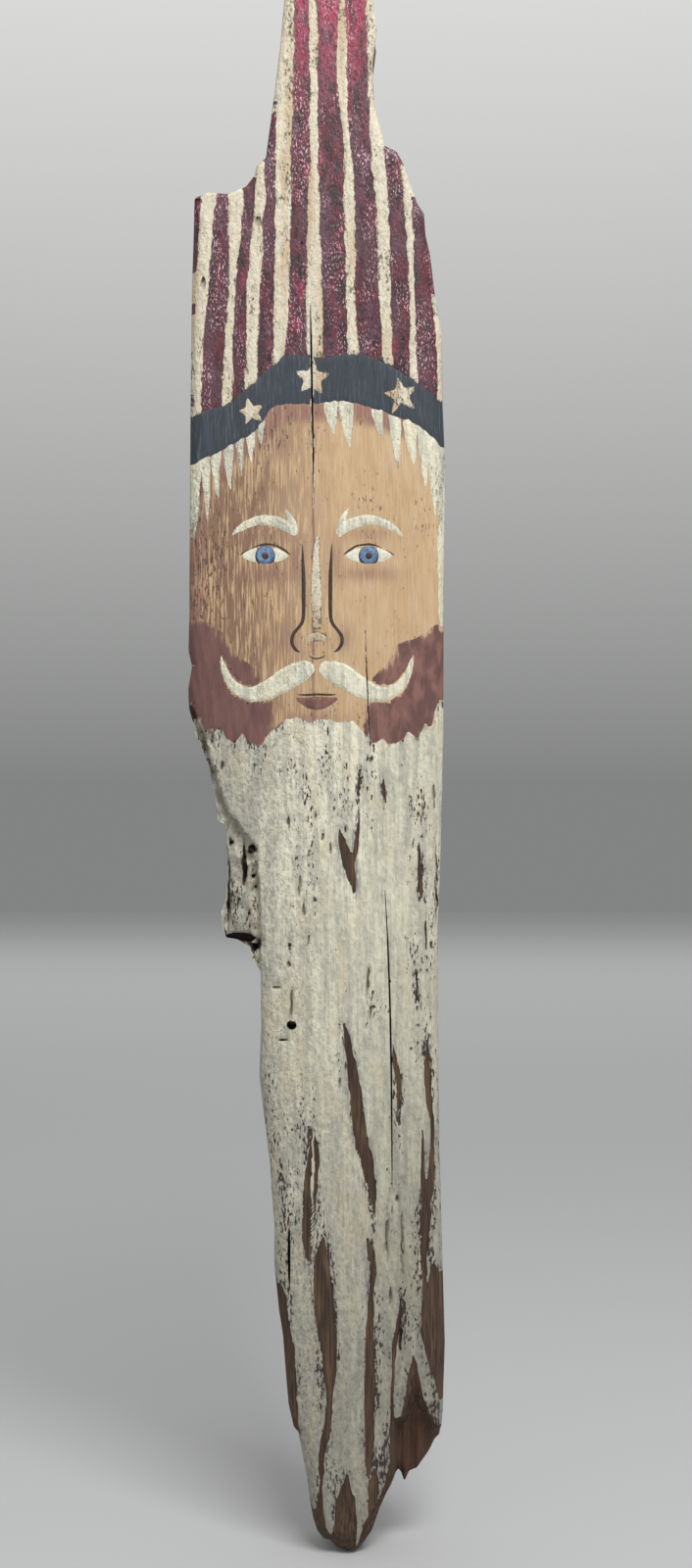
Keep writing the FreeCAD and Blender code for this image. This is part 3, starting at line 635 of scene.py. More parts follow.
class Lattice:
    """Rows and columns over the plank that follow its sides and crowd where detail needs them."""

    SIDE_SLOPE = 2.5  # most that a side moves across for each millimetre up
    TURNING_SPAN = 9  # levels that the outline's turning is averaged over
    FINE_COLUMNS = 700  # places across at which crowding is worked out
    # how much closer rows and columns lie
    AT_TURNS, AT_ENDS, AT_SIDES = 0.9, 1.6, 2.2
    AT_CRACKS, HOLE_ROWS, HOLE_COLUMNS = 0.55, 2.0, 1.6

    def __init__(self, plan: Plan) -> None:
        """Finds how far each level of the plank reaches to either side.

        Args:
            plan: The plank in plan.
        """
        self.plan = plan
        field = plan.outline
        held = field.values > 0
        rows = np.nonzero(held.any(axis=1))[0]
        self.levels = field.z[rows]
        left = field.x[np.argmax(held[rows], axis=1)]
        right = field.x[len(field.x) - 1 - np.argmax(held[rows][:, ::-1], axis=1)]
        self.left = -self._eased(-left) - 1.0
        self.right = self._eased(right) + 1.0
        turning = np.abs(np.gradient(left, self.levels)) + np.abs(np.gradient(right, self.levels))
        even = np.ones(self.TURNING_SPAN) / self.TURNING_SPAN
        self.turning = np.convolve(np.minimum(turning, 4), even, mode="same")

    def _eased(self, side: Array) -> Array:
        """The side as a line that never cuts the outline and never runs too flat.

        Args:
            side: How far the plank reaches at each level.

        Returns:
            How far the line reaches there.
        """
        eased = side.copy()
        step = self.SIDE_SLOPE * (self.levels[1] - self.levels[0])
        for k in range(1, len(eased)):
            eased[k] = max(eased[k], eased[k - 1] - step)
        for k in range(len(eased) - 2, -1, -1):
            eased[k] = max(eased[k], eased[k + 1] - step)
        return eased

    def rows(self, low: float, high: float, pitch: float) -> Array:
        """Levels that crowd where the outline turns, at the nail hole and at both ends.

        Args:
            low: Lowest level.
            high: Highest level.
            pitch: Usual distance between levels.

        Returns:
            The levels.
        """
        fine = 0.25
        z = np.arange(low, high, fine)
        plan = self.plan
        crowd = 1 + self.AT_TURNS * np.minimum(np.interp(z, self.levels, self.turning), 2.5)
        crowd = crowd + self.HOLE_ROWS * bell(z - plan.hole[1], 4.0)
        crowd = crowd + self.AT_ENDS * np.exp(-(z - plan.foot) / 8.0)
        crowd = crowd + self.AT_ENDS * np.exp(-(plan.tip - z) / 6.0)
        total = np.cumsum(crowd) * fine
        return np.interp(np.arange(0, total[-1], pitch), total, z)

    def whole(self, low: float, high: float, across: float, up: float) -> tuple[Array, Array]:
        """A lattice over the plank's whole width.

        Args:
            low: Lowest level.
            high: Highest level.
            across: Usual distance between columns.
            up: Usual distance between rows.

        Returns:
            Places across and up, one row of each for each level.
        """
        z = self.rows(low, high, up)
        left, right = (np.interp(z, self.levels, side)[:, None] for side in (self.left, self.right))
        share = np.linspace(0, 1, self.FINE_COLUMNS)[None, :]
        x = left + (right - left) * share
        level = np.broadcast_to(z[:, None], x.shape)
        crowd = 1 + self.AT_SIDES * (np.exp(-(x - left) / 2.5) + np.exp(-(right - x) / 2.5))
        for stretch in (-9.0, -4.5, 0.0, 4.5, 9.0):
            near = self.plan.cracks.at(x, level + stretch)
            crowd = crowd + self.AT_CRACKS * bell(np.minimum(near, 0), 1.5)
        hole = np.hypot(x - self.plan.hole[0], (level - self.plan.hole[1]) / 2.5)
        crowd = crowd + self.HOLE_COLUMNS * bell(hole, 4.5)
        total = np.cumsum(crowd, axis=1) * (x[:, 1:2] - x[:, :1])
        count = int(np.median(total[:, -1]) / across) + 1
        wanted = np.linspace(0, 1, count)
        columns = np.array([np.interp(wanted * t[-1], t, row) for t, row in zip(total, x)])
        return columns, np.broadcast_to(z[:, None], columns.shape).copy()

    @staticmethod
    def patch(box: tuple[float, float, float, float], across: float, up: float) -> tuple[Array, Array]:
        """An even lattice over a small box of lowest and highest X and Z."""
        x0, x1, z0, z1 = box
        return np.meshgrid(np.arange(x0, x1, across), np.arange(z0, z1, up))


class Slab:
    """Part of a lattice, cut to an outline, as a closed mesh with a front, a rim and a back."""

    LEAST_ISLAND = 10  # fewest cells that stay as a patch of their own
    ROUNDS = 5  # times that the border is evened out and moved onto the outline

    def __init__(self, x: Array, z: Array, held: Held) -> None:
        """Keeps the cells whose middle the outline holds, and moves their border onto it.

        Args:
            x: Lattice places across.
            z: Lattice places up.
            held: Function of places that is positive inside the outline.
        """
        self.x, self.z = x.copy(), z.copy()
        middle = [(a[1:, 1:] + a[1:, :-1] + a[:-1, 1:] + a[:-1, :-1]) / 4 for a in (x, z)]
        self.cells = self._whole_islands(self._no_pinches(held(*middle) > 0))
        self._find_border()
        for _ in range(self.ROUNDS):
            self._even_out()
            self._snap(held)

    @staticmethod
    def _no_pinches(cells: Array) -> Array:
        """Fills one cell wherever two meet only at a corner.

        Args:
            cells: Which cells are kept.

        Returns:
            The kept cells with the filled ones.
        """
        cells = cells.copy()
        for _ in range(8):
            a, b, c, d = cells[:-1, :-1], cells[:-1, 1:], cells[1:, :-1], cells[1:, 1:]
            rising, falling = a & d & ~b & ~c, b & c & ~a & ~d
            if not (rising.any() or falling.any()):
                break
            cells[:-1, 1:] |= rising
            cells[:-1, :-1] |= falling
        return cells

    def _whole_islands(self, cells: Array) -> Array:
        """Drops groups of too few cells, by spreading the highest label over each group.

        Args:
            cells: Which cells are kept.

        Returns:
            The kept cells without the small groups.
        """
        label = np.where(cells, np.arange(cells.size).reshape(cells.shape) + 1, 0)
        while True:
            grown = np.pad(label, 1)
            best = np.maximum.reduce(
                [label, grown[:-2, 1:-1], grown[2:, 1:-1], grown[1:-1, :-2], grown[1:-1, 2:]])
            best = np.where(cells, best, 0)
            flat = best.ravel()
            best = np.where(cells, flat[np.maximum(best - 1, 0)], 0)
            if (best == label).all():
                break
            label = best
        names, counts = np.unique(label[cells], return_counts=True)
        return cells & ~np.isin(label, names[counts < self.LEAST_ISLAND])

    def _find_border(self) -> None:
        """Lists the used lattice points, those on the border, and the border's directed edges."""
        cells = np.pad(self.cells, 1)
        around = [cells[1:, 1:], cells[1:, :-1], cells[:-1, 1:], cells[:-1, :-1]]
        count = sum(a.astype(int) for a in around)
        self.used, self.border = count > 0, (count > 0) & (count < 4)
        rows, columns = self.x.shape
        index = np.arange(rows * columns).reshape(rows, columns)
        a, b, c, d = index[:-1, :-1], index[:-1, 1:], index[1:, 1:], index[1:, :-1]
        keep, inner = self.cells, cells[1:-1, 1:-1]
        beyond = {"below": cells[:-2, 1:-1], "right": cells[1:-1, 2:], "above": cells[2:, 1:-1],
                  "left": cells[1:-1, :-2]}
        ends = {"below": (a, b), "right": (b, c), "above": (c, d), "left": (d, a)}
        edges = [np.stack([p[inner & ~beyond[side]], q[inner & ~beyond[side]]], axis=1)
                 for side, (p, q) in ends.items()]
        self.edges = np.vstack(edges)
        self.quads = np.stack([a[keep], b[keep], c[keep], d[keep]], axis=1)

    def _even_out(self) -> None:
        """Moves each border point a little towards the middle of its two neighbours."""
        pull, most = 0.4, 0.2
        p, q = self.edges[:, 0], self.edges[:, 1]
        for place, axis in ((self.x, 1), (self.z, 0)):
            step = np.abs(np.gradient(place, axis=axis)).ravel()
            flat = place.ravel()
            middle = flat.copy()
            middle[p] = flat[q] / 2
            middle[q] += flat[p] / 2
            place += np.clip(pull * (middle - flat), -most * step, most * step).reshape(place.shape)

    def _snap(self, held: Held) -> None:
        """Moves border points along the outline's slope, less than half a cell.

        Args:
            held: Function of places that is positive inside the outline.
        """
        most = 0.45
        step_x = np.abs(np.gradient(self.x, axis=1))[self.border]
        step_z = np.abs(np.gradient(self.z, axis=0))[self.border]
        x, z = self.x[self.border], self.z[self.border]
        here, reach = held(x, z), 0.2
        sx = (held(x + reach, z) - held(x - reach, z)) / (2 * reach)
        sz = (held(x, z + reach) - held(x, z - reach)) / (2 * reach)
        size = np.maximum(sx * sx + sz * sz, 0.15)
        self.x[self.border] = x - np.clip(here * sx / size, -most * step_x, most * step_x)
        self.z[self.border] = z - np.clip(here * sz / size, -most * step_z, most * step_z)

    def mesh(self, name: str, front: Array, back: Array, rings: tuple[Array, ...] = ()) -> bpy.types.Object:
        """Makes the closed mesh.

        Args:
            name: Name of the piece.
            front: Y of every lattice point on the front.
            back: Y of every lattice point on the back.
            rings: Points of each ring between front and back, in the border's order.

        Returns:
            The new object, in metres.
        """
        used = self.used.ravel()
        count = int(used.sum())
        top = np.full(used.size, -1)
        top[used] = np.arange(count)
        order = np.full(used.size, -1)
        order[self.border.ravel()] = np.arange(int(self.border.sum()))
        skins = [np.stack([self.x.ravel()[used], y.ravel()[used], self.z.ravel()[used]], axis=1)
                 for y in (front, back)]
        points = np.vstack([*skins, *rings])
        p, q = self.edges[:, 0], self.edges[:, 1]
        levels = [(top[p], top[q])]
        for k, ring in enumerate(rings):
            start = 2 * count + k * len(ring)
            levels.append((start + order[p], start + order[q]))
        levels.append((count + top[p], count + top[q]))
        rim = [np.stack([q0, p0, p1, q1], axis=1) for (p0, q0), (p1, q1) in zip(levels, levels[1:])]
        quads = np.vstack([top[self.quads], count + top[self.quads][:, ::-1], *rim])
        piece = new_object(name, points, quads)
        self._sharpen(piece, levels[0])
        return piece

    @staticmethod
    def _sharpen(piece: bpy.types.Object, border: tuple[Array, Array]) -> None:
        """Marks the front's border as a crisp edge.

        Args:
            piece: The slab's object.
            border: Both ends of each border edge.
        """
        mesh = piece.data
        ends = np.empty(len(mesh.edges) * 2, int)
        mesh.edges.foreach_get("vertices", ends)
        ends = np.sort(ends.reshape(-1, 2), axis=1)
        wanted = np.sort(np.stack(border, axis=1), axis=1)
        size = len(mesh.vertices)
        sharp = np.isin(ends[:, 0] * size + ends[:, 1], wanted[:, 0] * size + wanted[:, 1])
        mesh.attributes.new("sharp_edge", "BOOLEAN", "EDGE").data.foreach_set("value", sharp)

    def spread(self, values: Array, rings: int = 0, behind: float | None = None) -> Array:
        """One value for each mesh point, from values on the lattice.

        Args:
            values: Values on the lattice.
            rings: How many rings the mesh has.
            behind: Value for every point but the front's, if they have their own.

        Returns:
            Values in the mesh's order.
        """
        skin, side = values[self.used], values[self.border]
        if behind is None:
            return np.concatenate([skin, skin, *[side] * rings])
        return np.concatenate([skin, np.full(len(skin) + rings * len(side), behind)])

    def arcs(self) -> tuple[Array, Array]:
        """Measures along the border, loop after loop.

        Returns:
            Length at the start and at the end of each border edge.
        """
        p, q = self.edges[:, 0], self.edges[:, 1]
        x, z = self.x.ravel(), self.z.ravel()
        length = np.hypot(x[q] - x[p], z[q] - z[p])
        leaving = dict(zip(p.tolist(), range(len(p))))
        start, seen, run = np.zeros(len(p)), np.zeros(len(p), bool), 0.0
        for first in range(len(p)):
            edge = first
            while not seen[edge]:
                seen[edge], start[edge] = True, run
                run += length[edge]
                edge = leaving[int(q[edge])]
        return start, start + length


def new_object(name: str, points: Array, quads: Array) -> bpy.types.Object:
    """Makes a smooth mesh object.

    Args:
        name: Name of the piece.
        points: Its points, in millimetres.
        quads: Its four-cornered faces, as numbers of points.

    Returns:
        The object, in metres, linked to the scene.
    """
    mesh = bpy.data.meshes.new(name)
    mesh.vertices.add(len(points))
    mesh.vertices.foreach_set("co", (points * MM).ravel())
    mesh.loops.add(quads.size)
    mesh.loops.foreach_set("vertex_index", quads.ravel())
    mesh.polygons.add(len(quads))
    mesh.polygons.foreach_set("loop_start", np.arange(0, quads.size, 4))
    mesh.polygons.foreach_set("use_smooth", np.ones(len(quads), bool))
    mesh.update(calc_edges=True)
    mesh.validate()
    piece = bpy.data.objects.new(name, mesh)
    bpy.context.scene.collection.objects.link(piece)
    return piece


def points_of(piece: bpy.types.Object) -> Array:
    """Reads a piece's mesh.

    Args:
        piece: The piece.

    Returns:
        Its points, in millimetres.
    """
    place = np.empty(len(piece.data.vertices) * 3)
    piece.data.vertices.foreach_get("co", place)
    return place.reshape(-1, 3) / MM


def give(piece: bpy.types.Object, name: str, values: Array) -> None:
    """Stores one number for each point, for the piece's finish to read."""
    attribute = piece.data.attributes.new(name, "FLOAT", "POINT")
    attribute.data.foreach_set("value", np.asarray(values, np.float32))


def give_colour(piece: bpy.types.Object, name: str, values: Array) -> None:
    """Stores one colour for each point, for the piece's finish to read.

    Args:
        piece: The piece.
        name: What the finish calls it.
        values: The colours.
    """
    opaque = np.hstack([values, np.ones((len(values), 1))])
    attribute = piece.data.attributes.new(name, "FLOAT_COLOR", "POINT")
    attribute.data.foreach_set("color", opaque.astype(np.float32).ravel())


class Atlas:
    """Gives a slab's faces their places in one square map, so that baked detail is spread well."""

    NAME = "OFBake"
    MOST_STRIPS = 7
    PLAY = 4.0
    GAP = 3.0  # between areas, in texels
    ROUGH_SIDE = 60  # millimetres that a map holds, near enough to turn a gap into a length
    # the corner that a coat's hidden back shrinks into, and that back's scale
    NOOK, NOOK_SCALE = 0.994, 0.004 / 1000
    # spare length at the end of the plank's unrolled sides, all told and in each row
    SPARE, ROW_SPARE = 1.01, 1.001

    def __init__(self, piece: bpy.types.Object, slab: Slab, texels: int) -> None:
        """Keeps the piece and a gap of a few texels.

        Args:
            piece: The slab's object.
            slab: The slab.
            texels: Side of the baked image.
        """
        self.piece, self.slab, self.gap = piece, slab, self.GAP / texels
        self.points = points_of(piece)
        self.faces = np.empty(len(piece.data.loops), int)
        piece.data.loops.foreach_get("vertex_index", self.faces)
        self.faces = self.faces.reshape(-1, 4)
        self.uv = np.zeros((len(self.faces), 4, 2))
        self.skin = len(slab.quads)

    def _strips(self, faces: slice, strips: int, scale: float, floor: float) -> float:
        """Lays faces seen from the front in strips, each with Z along it.

        Args:
            faces: Which faces.
            strips: How many strips.
            scale: Map units for each millimetre.
            floor: Where the first strip starts.

        Returns:
            Where the last strip ends.
        """
        x, z = self.points[self.faces[faces]][..., 0], self.points[self.faces[faces]][..., 2]
        long = (self.points[:, 2].max() - self.points[:, 2].min()) / strips
        wide = (self.points[:, 0].max() - self.points[:, 0].min()) * scale + self.gap
        strip = np.clip((z.mean(axis=1) - self.points[:, 2].min()) // long, 0, strips - 1)[:, None]
        self.uv[faces, :, 0] = self.gap + (z - self.points[:, 2].min() - strip * long) * scale
        self.uv[faces, :, 1] = floor + self.gap + strip * wide + (x - self.points[:, 0].min()) * scale
        return floor + strips * wide

    def _best(self) -> tuple[int, float]:
        """Finds the layout that gives a thin coat the most room.

        Returns:
            How many strips it has, and its scale.
        """
        size = self.points.max(axis=0) - self.points.min(axis=0)
        room = 1 - 3 * self.gap
        scales = {}
        for strips in range(1, self.MOST_STRIPS + 1):
            along = (room - self.gap) / (size[2] / strips + self.PLAY)
            across = room / strips / (size[0] + self.gap * self.ROUGH_SIDE)
            scales[strips] = min(along, across)
        best = max(scales, key=scales.get)
        return best, scales[best]

    def coat(self) -> None:
        """A thin coat: the front in strips, the rim as a hairline beside it, the hidden back in a corner."""
        strips, scale = self._best()
        count = self.skin
        self._strips(slice(0, count), strips, scale, 0.0)
        self._strips(slice(count, 2 * count), 1, self.NOOK_SCALE, self.NOOK)
        self.uv[count:2 * count, :, 0] += self.NOOK
        rim = slice(2 * count, len(self.faces))
        self._strips(rim, strips, scale, 0.0)
        corner = self.points[self.faces[rim]]
        dx, dz = corner[:, 0, 0] - corner[:, 1, 0], corner[:, 0, 2] - corner[:, 1, 2]
        size = np.maximum(np.hypot(dx, dz), 1e-6)
        out = np.stack([-dx / size, dz / size], axis=1) * self.gap / 3
        self.uv[rim, 2] += out
        self.uv[rim, 3] += out
        self._store()

    def plank(self, rings: int) -> None:
        """The plank: a large front, a smaller back, and the sides unrolled along the border.

        Args:
            rings: How many rings of points its sides have.
        """
        count, rows = self.skin, 3
        room = 1 - 3 * self.gap
        length = self.points[:, 2].max() - self.points[:, 2].min()
        floor = self._strips(slice(0, count), 2, room / (length / 2 + self.PLAY), 0.0)
        floor = self._strips(slice(count, 2 * count), 1, room / (length + self.PLAY), floor)
        start, end = self.slab.arcs()
        unit = room * rows / (end.max() * self.SPARE)
        high = (1 - floor - self.gap) / rows
        row = np.floor((start + end) / 2 / (end.max() * self.ROW_SPARE) * rows)
        along = [self.gap + (s - row * end.max() * self.ROW_SPARE / rows) * unit for s in (start, end)]
        for ring in range(rings + 1):
            faces = slice(2 * count + ring * len(start), 2 * count + (ring + 1) * len(start))
            low, top = (floor + self.gap + row * high + (high - 2 * self.gap) * k / (rings + 1)
                        for k in (ring, ring + 1))
            self.uv[faces, :, 0] = np.stack([along[1], along[0], along[0], along[1]], axis=1)
            self.uv[faces, :, 1] = np.stack([low, low, top, top], axis=1)
        self._store()

    def _store(self) -> None:
        """Writes the map to the mesh."""
        layer = self.piece.data.uv_layers.new(name=self.NAME)
        layer.data.foreach_set("uv", np.clip(self.uv, 0, 1).astype(np.float32).ravel())


class CoatOutline:
    """A coat's shape in plan, left open where the plank's own shape ends it."""

    SEED = 23
    REACH = 12.0
    OVERLAP_REACH = 2.0
    MARGIN = 8.0
    # an edge this near to the plank's rim, a crack, other damage or a later coat isn't the coat's own
    BY_RIM, BY_CRACK, BY_DAMAGE, BY_COAT = 1.9, 1.2, 0.45, 0.8
    # strips left bare along the plank's rim and the hole, and how far paint runs into a crack
    BARE_RIM, BARE_HOLE, IN_CRACK = 0.12, 0.15, 0.14
    # where the decay begins, and the bare strip on either side of it
    DECAY_EDGE, BARE_DECAY = 0.5, 0.4

    def __init__(self, plan: Plan, node: str, shift: float, step: float, over: tuple[str, ...]) -> None:
        """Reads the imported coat.

        Args:
            plan: The plank in plan.
            node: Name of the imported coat.
            shift: How far its brushed edge wanders.
            step: Spacing of the raster.
            over: Coats that hide some of its edges.
        """
        self.plan, self.shift, self.noise = plan, shift, Noise(self.SEED)
        edges = seen_edges(node, Facing.FRONT)
        own = self._own(edges, over)
        x, z = raster(edges, self.MARGIN, step)
        gx, gz = np.meshgrid(x, z)
        inside = inside_mask(edges, x, z) | (plan.cracks.at(gx, gz) > 0) | (plan.hole_gap(gx, gz) < 0)
        inside |= plan.pocket.at(gx, gz) > 0
        far = edge_distance(edges[own], x, z, self.REACH)
        self.field = Field(x, z, np.where(inside, far, -far))

    def _own(self, edges: Array, over: tuple[str, ...]) -> Array:
        """Tells the edges a brush left from those where the plank or a later coat ends the coat.

        Args:
            edges: Rows of x0, z0, x1, z1.
            over: Coats that hide some of the edges.

        Returns:
            Which edges are the coat's own.
        """
        plan = self.plan
        middle = (edges[:, :2] + edges[:, 2:]) / 2
        x, z = middle[:, 0], middle[:, 1]
        own = (plan.rim(x, z) > self.BY_RIM) & (plan.cracks.at(x, z) < -self.BY_CRACK)
        for gap in (plan.pocket.at(x, z), plan.flake.at(x, z), plan.hole_gap(x, z)):
            own &= np.abs(gap) > self.BY_DAMAGE
        for other in over:
            border = outline_field(seen_edges(other, Facing.FRONT), self.OVERLAP_REACH, 0.4)
            own &= np.abs(border.at(x, z)) > self.BY_COAT
        return own

    def depth(self, x: Array, z: Array) -> Array:
        """Distance inside the coat's own brushed edge, wherever the plank carries it.

        Args:
            x: Places across.
            z: Places up.

        Returns:
            Distances, negative outside.
        """
        noise, blur = self.noise, 1.2
        x, z = self.plan.pulled_in(x, z)
        sway = 0.5 * noise.at(x, z, 3.4, 17.0) + 0.5 * noise.at(x + 60, z, 1.7, 4.6)
        sway = sway + 0.3 * noise.at(x + 90, z, 8.0, 50.0)
        lift = 0.9 * noise.at(x + 200, z, 2.4, 7.0) + 0.5 * noise.at(x + 260, z, 6.0, 30.0)
        x, z = x + self.shift * sway, z + self.shift * lift
        return (self.field.at(x, z - blur) + 2 * self.field.at(x, z) + self.field.at(x, z + blur)) / 4

    def held(self, x: Array, z: Array) -> Array:
        """Where the coat lies on the plank: it breaks at cracks, chips and the decayed edge's rim.

        Args:
            x: Places across.
            z: Places up.

        Returns:
            Positive numbers inside, negative outside.
        """
        plan = self.plan
        parts = [
            self.depth(x, z),
            plan.rim(x, z) - self.BARE_RIM,
            self.IN_CRACK - plan.cracks.at(x, z),
            plan.hole_gap(x, z) - self.BARE_HOLE,
            -plan.chip(x, z),
            np.abs(plan.flaked(x, z) - self.DECAY_EDGE) - self.BARE_DECAY,
        ]
        return np.minimum.reduce(parts)


@dataclass(frozen=True)
class Wrap:
    """How a coat runs over the plank's corners: its colour there, and how far down each side."""

    tint: Colour
    left: float
    right: float


class FaceMark(Enum):
    """What a coat's finish reads from the face."""

    NONE = "none"
    SHADE = "shade"
    SPOKE = "spoke"


@dataclass(frozen=True)
class CoatPlan:
    """How one packed coat is laid."""

    node: str
    slot: str
    layer: Layer
    lift: float = 0.0  # how far it stands above its layer
    across: float = 0.34  # size of a mesh cell
    up: float = 0.34
    step: float = 0.25  # spacing of the raster that its outline is read on
    shift: float = 0.3  # how far its brushed edge wanders
    crust: float = 0.10  # height of its brush marks
    whole: bool = False  # laid over the plank's whole width
    dry: float = 0.0  # share of dry, broken paint
    firm: float = 0.0  # 1 keeps its edge from being rubbed out
    over: tuple[str, ...] = ()  # coats laid over its edges
    wrap: Wrap | None = None
    mark: FaceMark = FaceMark.NONE


class Coat:
    """One coat of paint over the plank."""

    SEED = 31
    FILM = 0.9  # thickness of its mesh, most of it inside the timber
    EDGE = 0.45  # share of its height that it has at its edge
    SWELL = 1.6  # how far inside its edge it has its whole height
    GRAIN, GROOVE = 0.8, 0.12  # shares of the wood's grain and of the cracks that show through
    SPARE, SPARE_WHOLE = 2, 3  # how far its lattice reaches past it
    MAP = 512  # side of its baked image

    def __init__(self, plan: CoatPlan, board: Plan, surface: Surface, lattice: Lattice) -> None:
        """Reads the coat's outline.

        Args:
            plan: How the coat is laid.
            board: The plank in plan.
            surface: The plank's faces.
            lattice: Rows and columns over the plank.
        """
        self.plan, self.board, self.surface, self.lattice = plan, board, surface, lattice
        self.outline = CoatOutline(board, plan.node, plan.shift, plan.step, plan.over)
        self.noise = Noise(self.SEED)

    def build(self) -> bpy.types.Object:
        """Makes the coat's film and stores what its finish reads.

        Returns:
            The film.
        """
        plan = self.plan
        low, high = corners(plan.node)
        if plan.whole:
            spare = self.SPARE_WHOLE
            x, z = self.lattice.whole(low[2] - spare, high[2] + spare, plan.across, plan.up)
        else:
            spare = self.SPARE
            box = (low[0] - spare, high[0] + spare, low[2] - spare, high[2] + spare)
            x, z = Lattice.patch(box, plan.across, plan.up)
        slab = Slab(x, z, self.outline.held)
        x, z = slab.x, slab.z
        depth = self.outline.depth(x, z)
        swell = smoothstep(np.minimum(depth, self.board.rim(x, z) * 2), 0.0, self.SWELL)
        marks = self.noise.layered(x, z, 2.6, 5.0, 2) + 0.5 * self.noise.layered(x, z, 9.0, 24.0)
        crust = plan.crust * marks
        out = (plan.layer.value + plan.lift) * (self.EDGE + (1 - self.EDGE) * swell) + crust * swell
        front = self.surface.front(x, z, out, self.GRAIN, self.GROOVE)
        piece = slab.mesh(plan.node + "_film", front, front + self.FILM)
        give(piece, "rim", slab.spread(depth))
        give(piece, "edge", slab.spread(self.board.rim(x, z)))
        give(piece, "dry", np.full(len(piece.data.vertices), plan.dry))
        give(piece, "firm", np.full(len(piece.data.vertices), plan.firm))
        Atlas(piece, slab, self.MAP).coat()
        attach(piece, "board_body")
        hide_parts(plan.node)
        return piece


